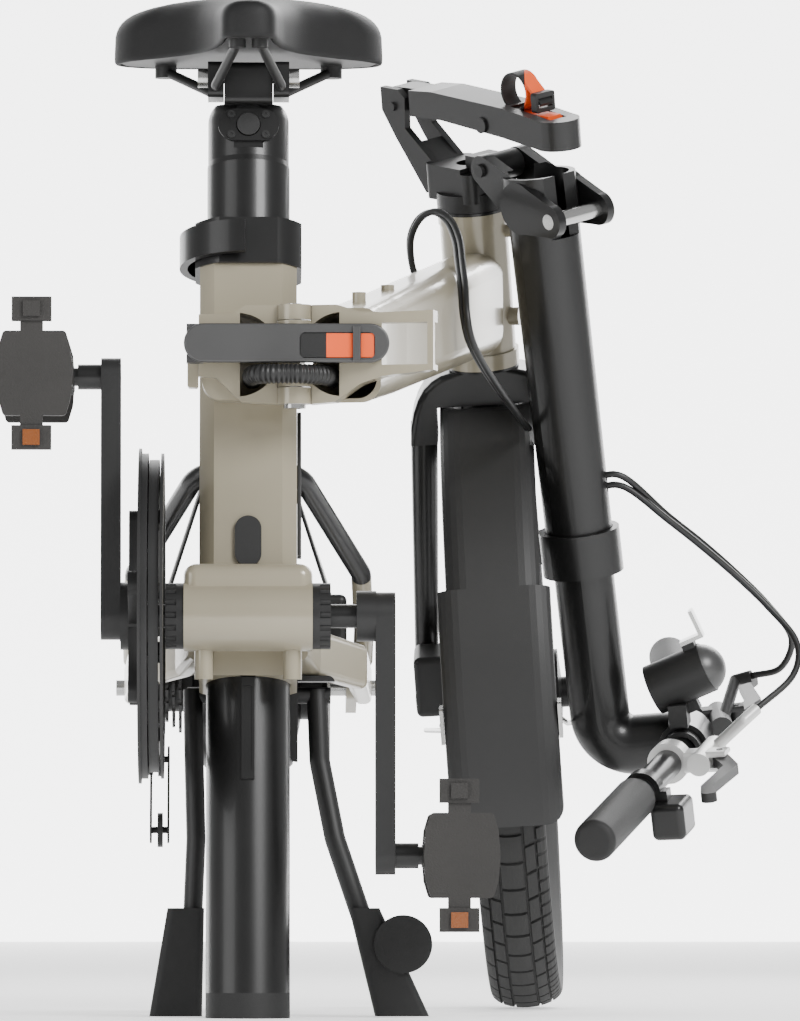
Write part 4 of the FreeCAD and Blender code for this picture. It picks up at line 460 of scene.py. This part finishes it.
# Arc lengths over the crown are in millimetres from its middle line.
TREAD_LINES = [0, 4, 8.4, 8.8, 10.4, 10.8, 14, 18.6, 19.0, 20.4, 20.8, 24, 28, 31, 33.5]
INNER_GROOVE_START, INNER_GROOVE_END = 8.6, 10.6
OUTER_GROOVE_START, OUTER_GROOVE_END = 18.8, 20.6
TREAD_EDGE = 32
EDGE_FADE = 14              # from the outer groove to where the cross cuts would run out
SKEW_START, SKEW_LENGTH = 6, 14

# Places round the tyre are in shares of one pitch.
TREAD_PITCHES = 62
PHASES = [0.0, 0.035, 0.095, 0.13, 0.32, 0.5, 0.535, 0.595, 0.63, 0.82]
FIRST_CUT_START, FIRST_CUT_END = 0.03, 0.1
SECOND_CUT_START, SECOND_CUT_END = 0.53, 0.6
BLOCK_SKEW = 0.16

GROOVE_DEPTH = 0.0020
INNER_GROOVE_SHARE = 0.8    # of that depth


def crown_point(arc):
    """Distance from the axle and from the middle plane, at an arc length over the crown."""
    angle = 0.0
    walked = 0.0
    while walked < arc and angle < math.pi / 2:
        slope = math.hypot(CROWN_HEIGHT * math.sin(angle), HALF_WIDTH * math.cos(angle))
        walked += ARC_STEP * MM_PER_METRE * slope
        angle += ARC_STEP
    return CROWN_RADIUS + CROWN_HEIGHT * math.cos(angle), HALF_WIDTH * math.sin(angle)


def groove(arc, phase, both_cuts):
    """How deep the tread is cut, 0 to 1, at a place on the crown. Its edge has both cross cuts or one."""
    first = FIRST_CUT_START < phase < FIRST_CUT_END
    second = SECOND_CUT_START < phase < SECOND_CUT_END
    if arc < INNER_GROOVE_START:
        return 1.0 if first else 0.0
    if arc < INNER_GROOVE_END:
        return INNER_GROOVE_SHARE
    if arc < OUTER_GROOVE_START:
        return 1.0 if second else 0.0
    if arc < OUTER_GROOVE_END:
        return 1.0
    if arc < TREAD_EDGE and (first or both_cuts and second):
        return 1 - (arc - OUTER_GROOVE_END) / EDGE_FADE
    return 0.0


def tyre(name, axle, axis):
    """A tyre shell around an axle, with rows of staggered blocks."""
    axis = Vector(axis).normalized()
    across = axis.orthogonal().normalized()
    turned = Matrix((across, axis.cross(across), axis)).transposed()
    profile = [(*crown_point(arc), arc) for arc in TREAD_LINES] + [(r, x, PAST_TREAD) for r, x in SIDE_WALL]
    ring = [(r, -x, arc, True) for r, x, arc in reversed(profile[1:])]
    ring += [(r, x, arc, False) for r, x, arc in profile]
    points = []
    for pitch in range(TREAD_PITCHES):
        for phase in PHASES:
            for r, x, arc, both_cuts in ring:
                skew = BLOCK_SKEW * min(max(arc - SKEW_START, 0), SKEW_LENGTH) / SKEW_LENGTH
                angle = 2 * math.pi * (pitch + phase + skew) / TREAD_PITCHES
                reach = r - groove(arc, phase, both_cuts) * GROOVE_DEPTH
                place = Vector((reach * math.cos(angle), reach * math.sin(angle), x))
                points.append(Vector(axle) + turned @ place)
    faces = loops_to_faces(TREAD_PITCHES * len(PHASES), len(ring), closed_rows=True)
    return mesh_piece(name, points, faces, TYRE, smooth=False)


FRONT_AXLE = (0.20452, 0.59477, 0.24476)
FRONT_AXIS = (-0.99617, 0.06207, -0.06163)
REAR_AXLE = (0.0, 0.400, 0.245)
REAR_AXIS = (1, 0, 0)
TYRES = (
    ("front_treaded_tyre", "front_tyre", "front_wheel", FRONT_AXLE, FRONT_AXIS),
    ("rear_treaded_tyre", "rear_tyre", "rear_wheel", REAR_AXLE, REAR_AXIS),
)
for name, node, body, axle, axis in TYRES:
    treaded = tyre(name, axle, axis)
    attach(treaded, body)
    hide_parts(node)

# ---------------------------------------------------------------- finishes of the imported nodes

FINISHES = (
    (PAINT, ("seat_tube", "front_frame", "rear_stays")),
    (SATIN, ("seatpost_tube", "post_head", "handlepost", "upper_post", "fork", "seat_collar", "headset",
             "stem_latch", "saddle_clamp", "handlebar", "seat_clamp_lever", "crank_spindles")),
    (DARK_GREY, ("stem_base", "crank_arms", "rear_caliper", "front_caliper", "stand_bracket",
                 "brake_lever_left", "brake_lever_right", "derailleur", "bottom_bracket_cups",
                 "saddle_rails")),
    (GREY, ("latch_lever", "cassette")),
    (STEEL, ("hinge_pins", "rear_axle", "front_axle", "bell_hammer")),
    (PLASTIC, ("cable_fittings", "battery_pack", "power_button", "bell", "chainring", "brake_bodies",
               "saddle_shell", "stand_legs", "chain")),
    (FENDER, ("rear_fender", "front_fender")),
    (RUBBER, ("stand_feet", "seatpost_foot")),
    (GRIP, ("grips",)),
    (RIM, ("rear_rim", "front_rim", "rear_hub_motor", "front_hub")),
    (FRAME_STRAP, ("latch_strap",)),
    (STEM_STRAP, ("stem_strap",)),
    (PEDAL, ("pedal_right", "pedal_left")),
)
for finish, names in FINISHES:
    for name in names:
        paint(name, finish)

# Shells that share a node with shells of another colour. The two corners are those of a box around
# each one's middle.
ACCENTS = (
    ("bell", GREY, (0.345, 0.42, 0.25), (0.37, 0.44, 0.28)),
    ("brake_bodies", SILVER, (0.33, 0.39, 0.18), (0.36, 0.43, 0.22)),
    ("handlepost", STEEL, (0.243, 0.33, 0.59), (0.252, 0.35, 0.61)),
    ("pedal_right", AMBER, (-0.16, -0.05, 0.40), (-0.14, -0.04, 0.43)),
    ("pedal_left", AMBER, (0.14, -0.05, 0.06), (0.16, -0.04, 0.09)),
    ("post_head", DARK_GREY, (-0.02, 0.10, 0.63), (0.02, 0.11, 0.66)),
    ("saddle_clamp", STEEL, (-0.005, 0.11, 0.67), (0.005, 0.13, 0.69)),
    ("seat_collar", STEEL, (-0.01, 0.15, 0.53), (0.01, 0.17, 0.55)),
    ("front_hub", STEEL, (0.155, 0.59, 0.23), (0.17, 0.605, 0.25)),
    ("rear_hub_motor", STEEL, (0.05, 0.39, 0.23), (0.07, 0.41, 0.26)),
    ("front_fender", STEEL, (0.24, 0.45, 0.21), (0.26, 0.48, 0.23)),
    ("front_fender", STEEL, (0.14, 0.46, 0.20), (0.155, 0.48, 0.23)),
    ("rear_fender", STEEL, (-0.09, 0.41, 0.25), (-0.05, 0.52, 0.35)),
    ("rear_fender", STEEL, (0.05, 0.41, 0.25), (0.09, 0.52, 0.35)),
    ("stem_strap", PLASTIC, (0.221, 0.333, 0.684), (0.225, 0.338, 0.689)),
)
for name, finish, low, high in ACCENTS:
    paint_shells(name, finish, low, high)

STAY_SPLIT = 0.315      # the stays are black above this height
stay_faces = NODES["rear_stays"].data.polygons
paint_faces("rear_stays", SATIN, [face.index for face in stay_faces if face.center.z > STAY_SPLIT])

LEVER_TOP = 0.6         # how far up a face of the stem's lever has to point to be grey
lever_faces = NODES["stem_latch"].data.polygons
paint_faces("stem_latch", GREY, [face.index for face in lever_faces if face.normal.z > LEVER_TOP])

# ---------------------------------------------------------------- stage, lights and camera

STAGE_HALF = 14.0
WALL_Y = 13.5
WALL_HEIGHT = 12
FLOOR_CORNERS = [(-STAGE_HALF, -STAGE_HALF, 0), (STAGE_HALF, -STAGE_HALF, 0), (STAGE_HALF, STAGE_HALF, 0),
                 (-STAGE_HALF, STAGE_HALF, 0)]
WALL_CORNERS = [(-STAGE_HALF, WALL_Y, 0), (STAGE_HALF, WALL_Y, 0), (STAGE_HALF, WALL_Y, WALL_HEIGHT),
                (-STAGE_HALF, WALL_Y, WALL_HEIGHT)]
floor = mesh_piece("floor", FLOOR_CORNERS, [(0, 1, 2, 3)], FLOOR)
wall = mesh_piece("wall", WALL_CORNERS, [(0, 1, 2, 3)], WALL)

SKY_STRENGTH = 0.45
world = bpy.data.worlds.new("studio")
world.use_nodes = True
background = world.node_tree.nodes["Background"]
background.inputs["Color"].default_value = (1, 1, 1, 1)
background.inputs["Strength"].default_value = SKY_STRENGTH
bpy.context.scene.world = world

LIT_PLACE = (0.1, 0.25, 0.4)        # what every light faces
LIGHTS = (                          # name, place, side in metres, power in watts
    ("key", (1.9, -2.4, 2.3), 1.4, 135),
    ("fill", (-2.6, -1.8, 1.2), 2.0, 35),
    ("rim_light", (1.2, 2.6, 2.2), 1.6, 60),
)


def area_light(name, place, size, power):
    """A soft square light."""
    data = bpy.data.lights.new(name, "AREA")
    data.shape = "SQUARE"
    data.size = size
    data.energy = power
    lamp = bpy.data.objects.new(name, data)
    lamp.location = place
    lamp.rotation_euler = (Vector(LIT_PLACE) - Vector(place)).to_track_quat("-Z", "Y").to_euler()
    bpy.context.scene.collection.objects.link(lamp)


for name, place, size, power in LIGHTS:
    area_light(name, place, size, power)

LENS = 283.6
SENSOR_WIDTH = 36
CAMERA_PLACE = (0, -5.710, 0.077)
CAMERA_AIM = (0.0189, 1, 0.0496)    # the way it looks
camera_data = bpy.data.cameras.new("camera")
camera_data.lens = LENS
camera_data.sensor_width = SENSOR_WIDTH
camera = bpy.data.objects.new("camera", camera_data)
camera.location = CAMERA_PLACE
camera.rotation_euler = Vector(CAMERA_AIM).to_track_quat("-Z", "Y").to_euler()
bpy.context.scene.collection.objects.link(camera)
bpy.context.scene.camera = camera
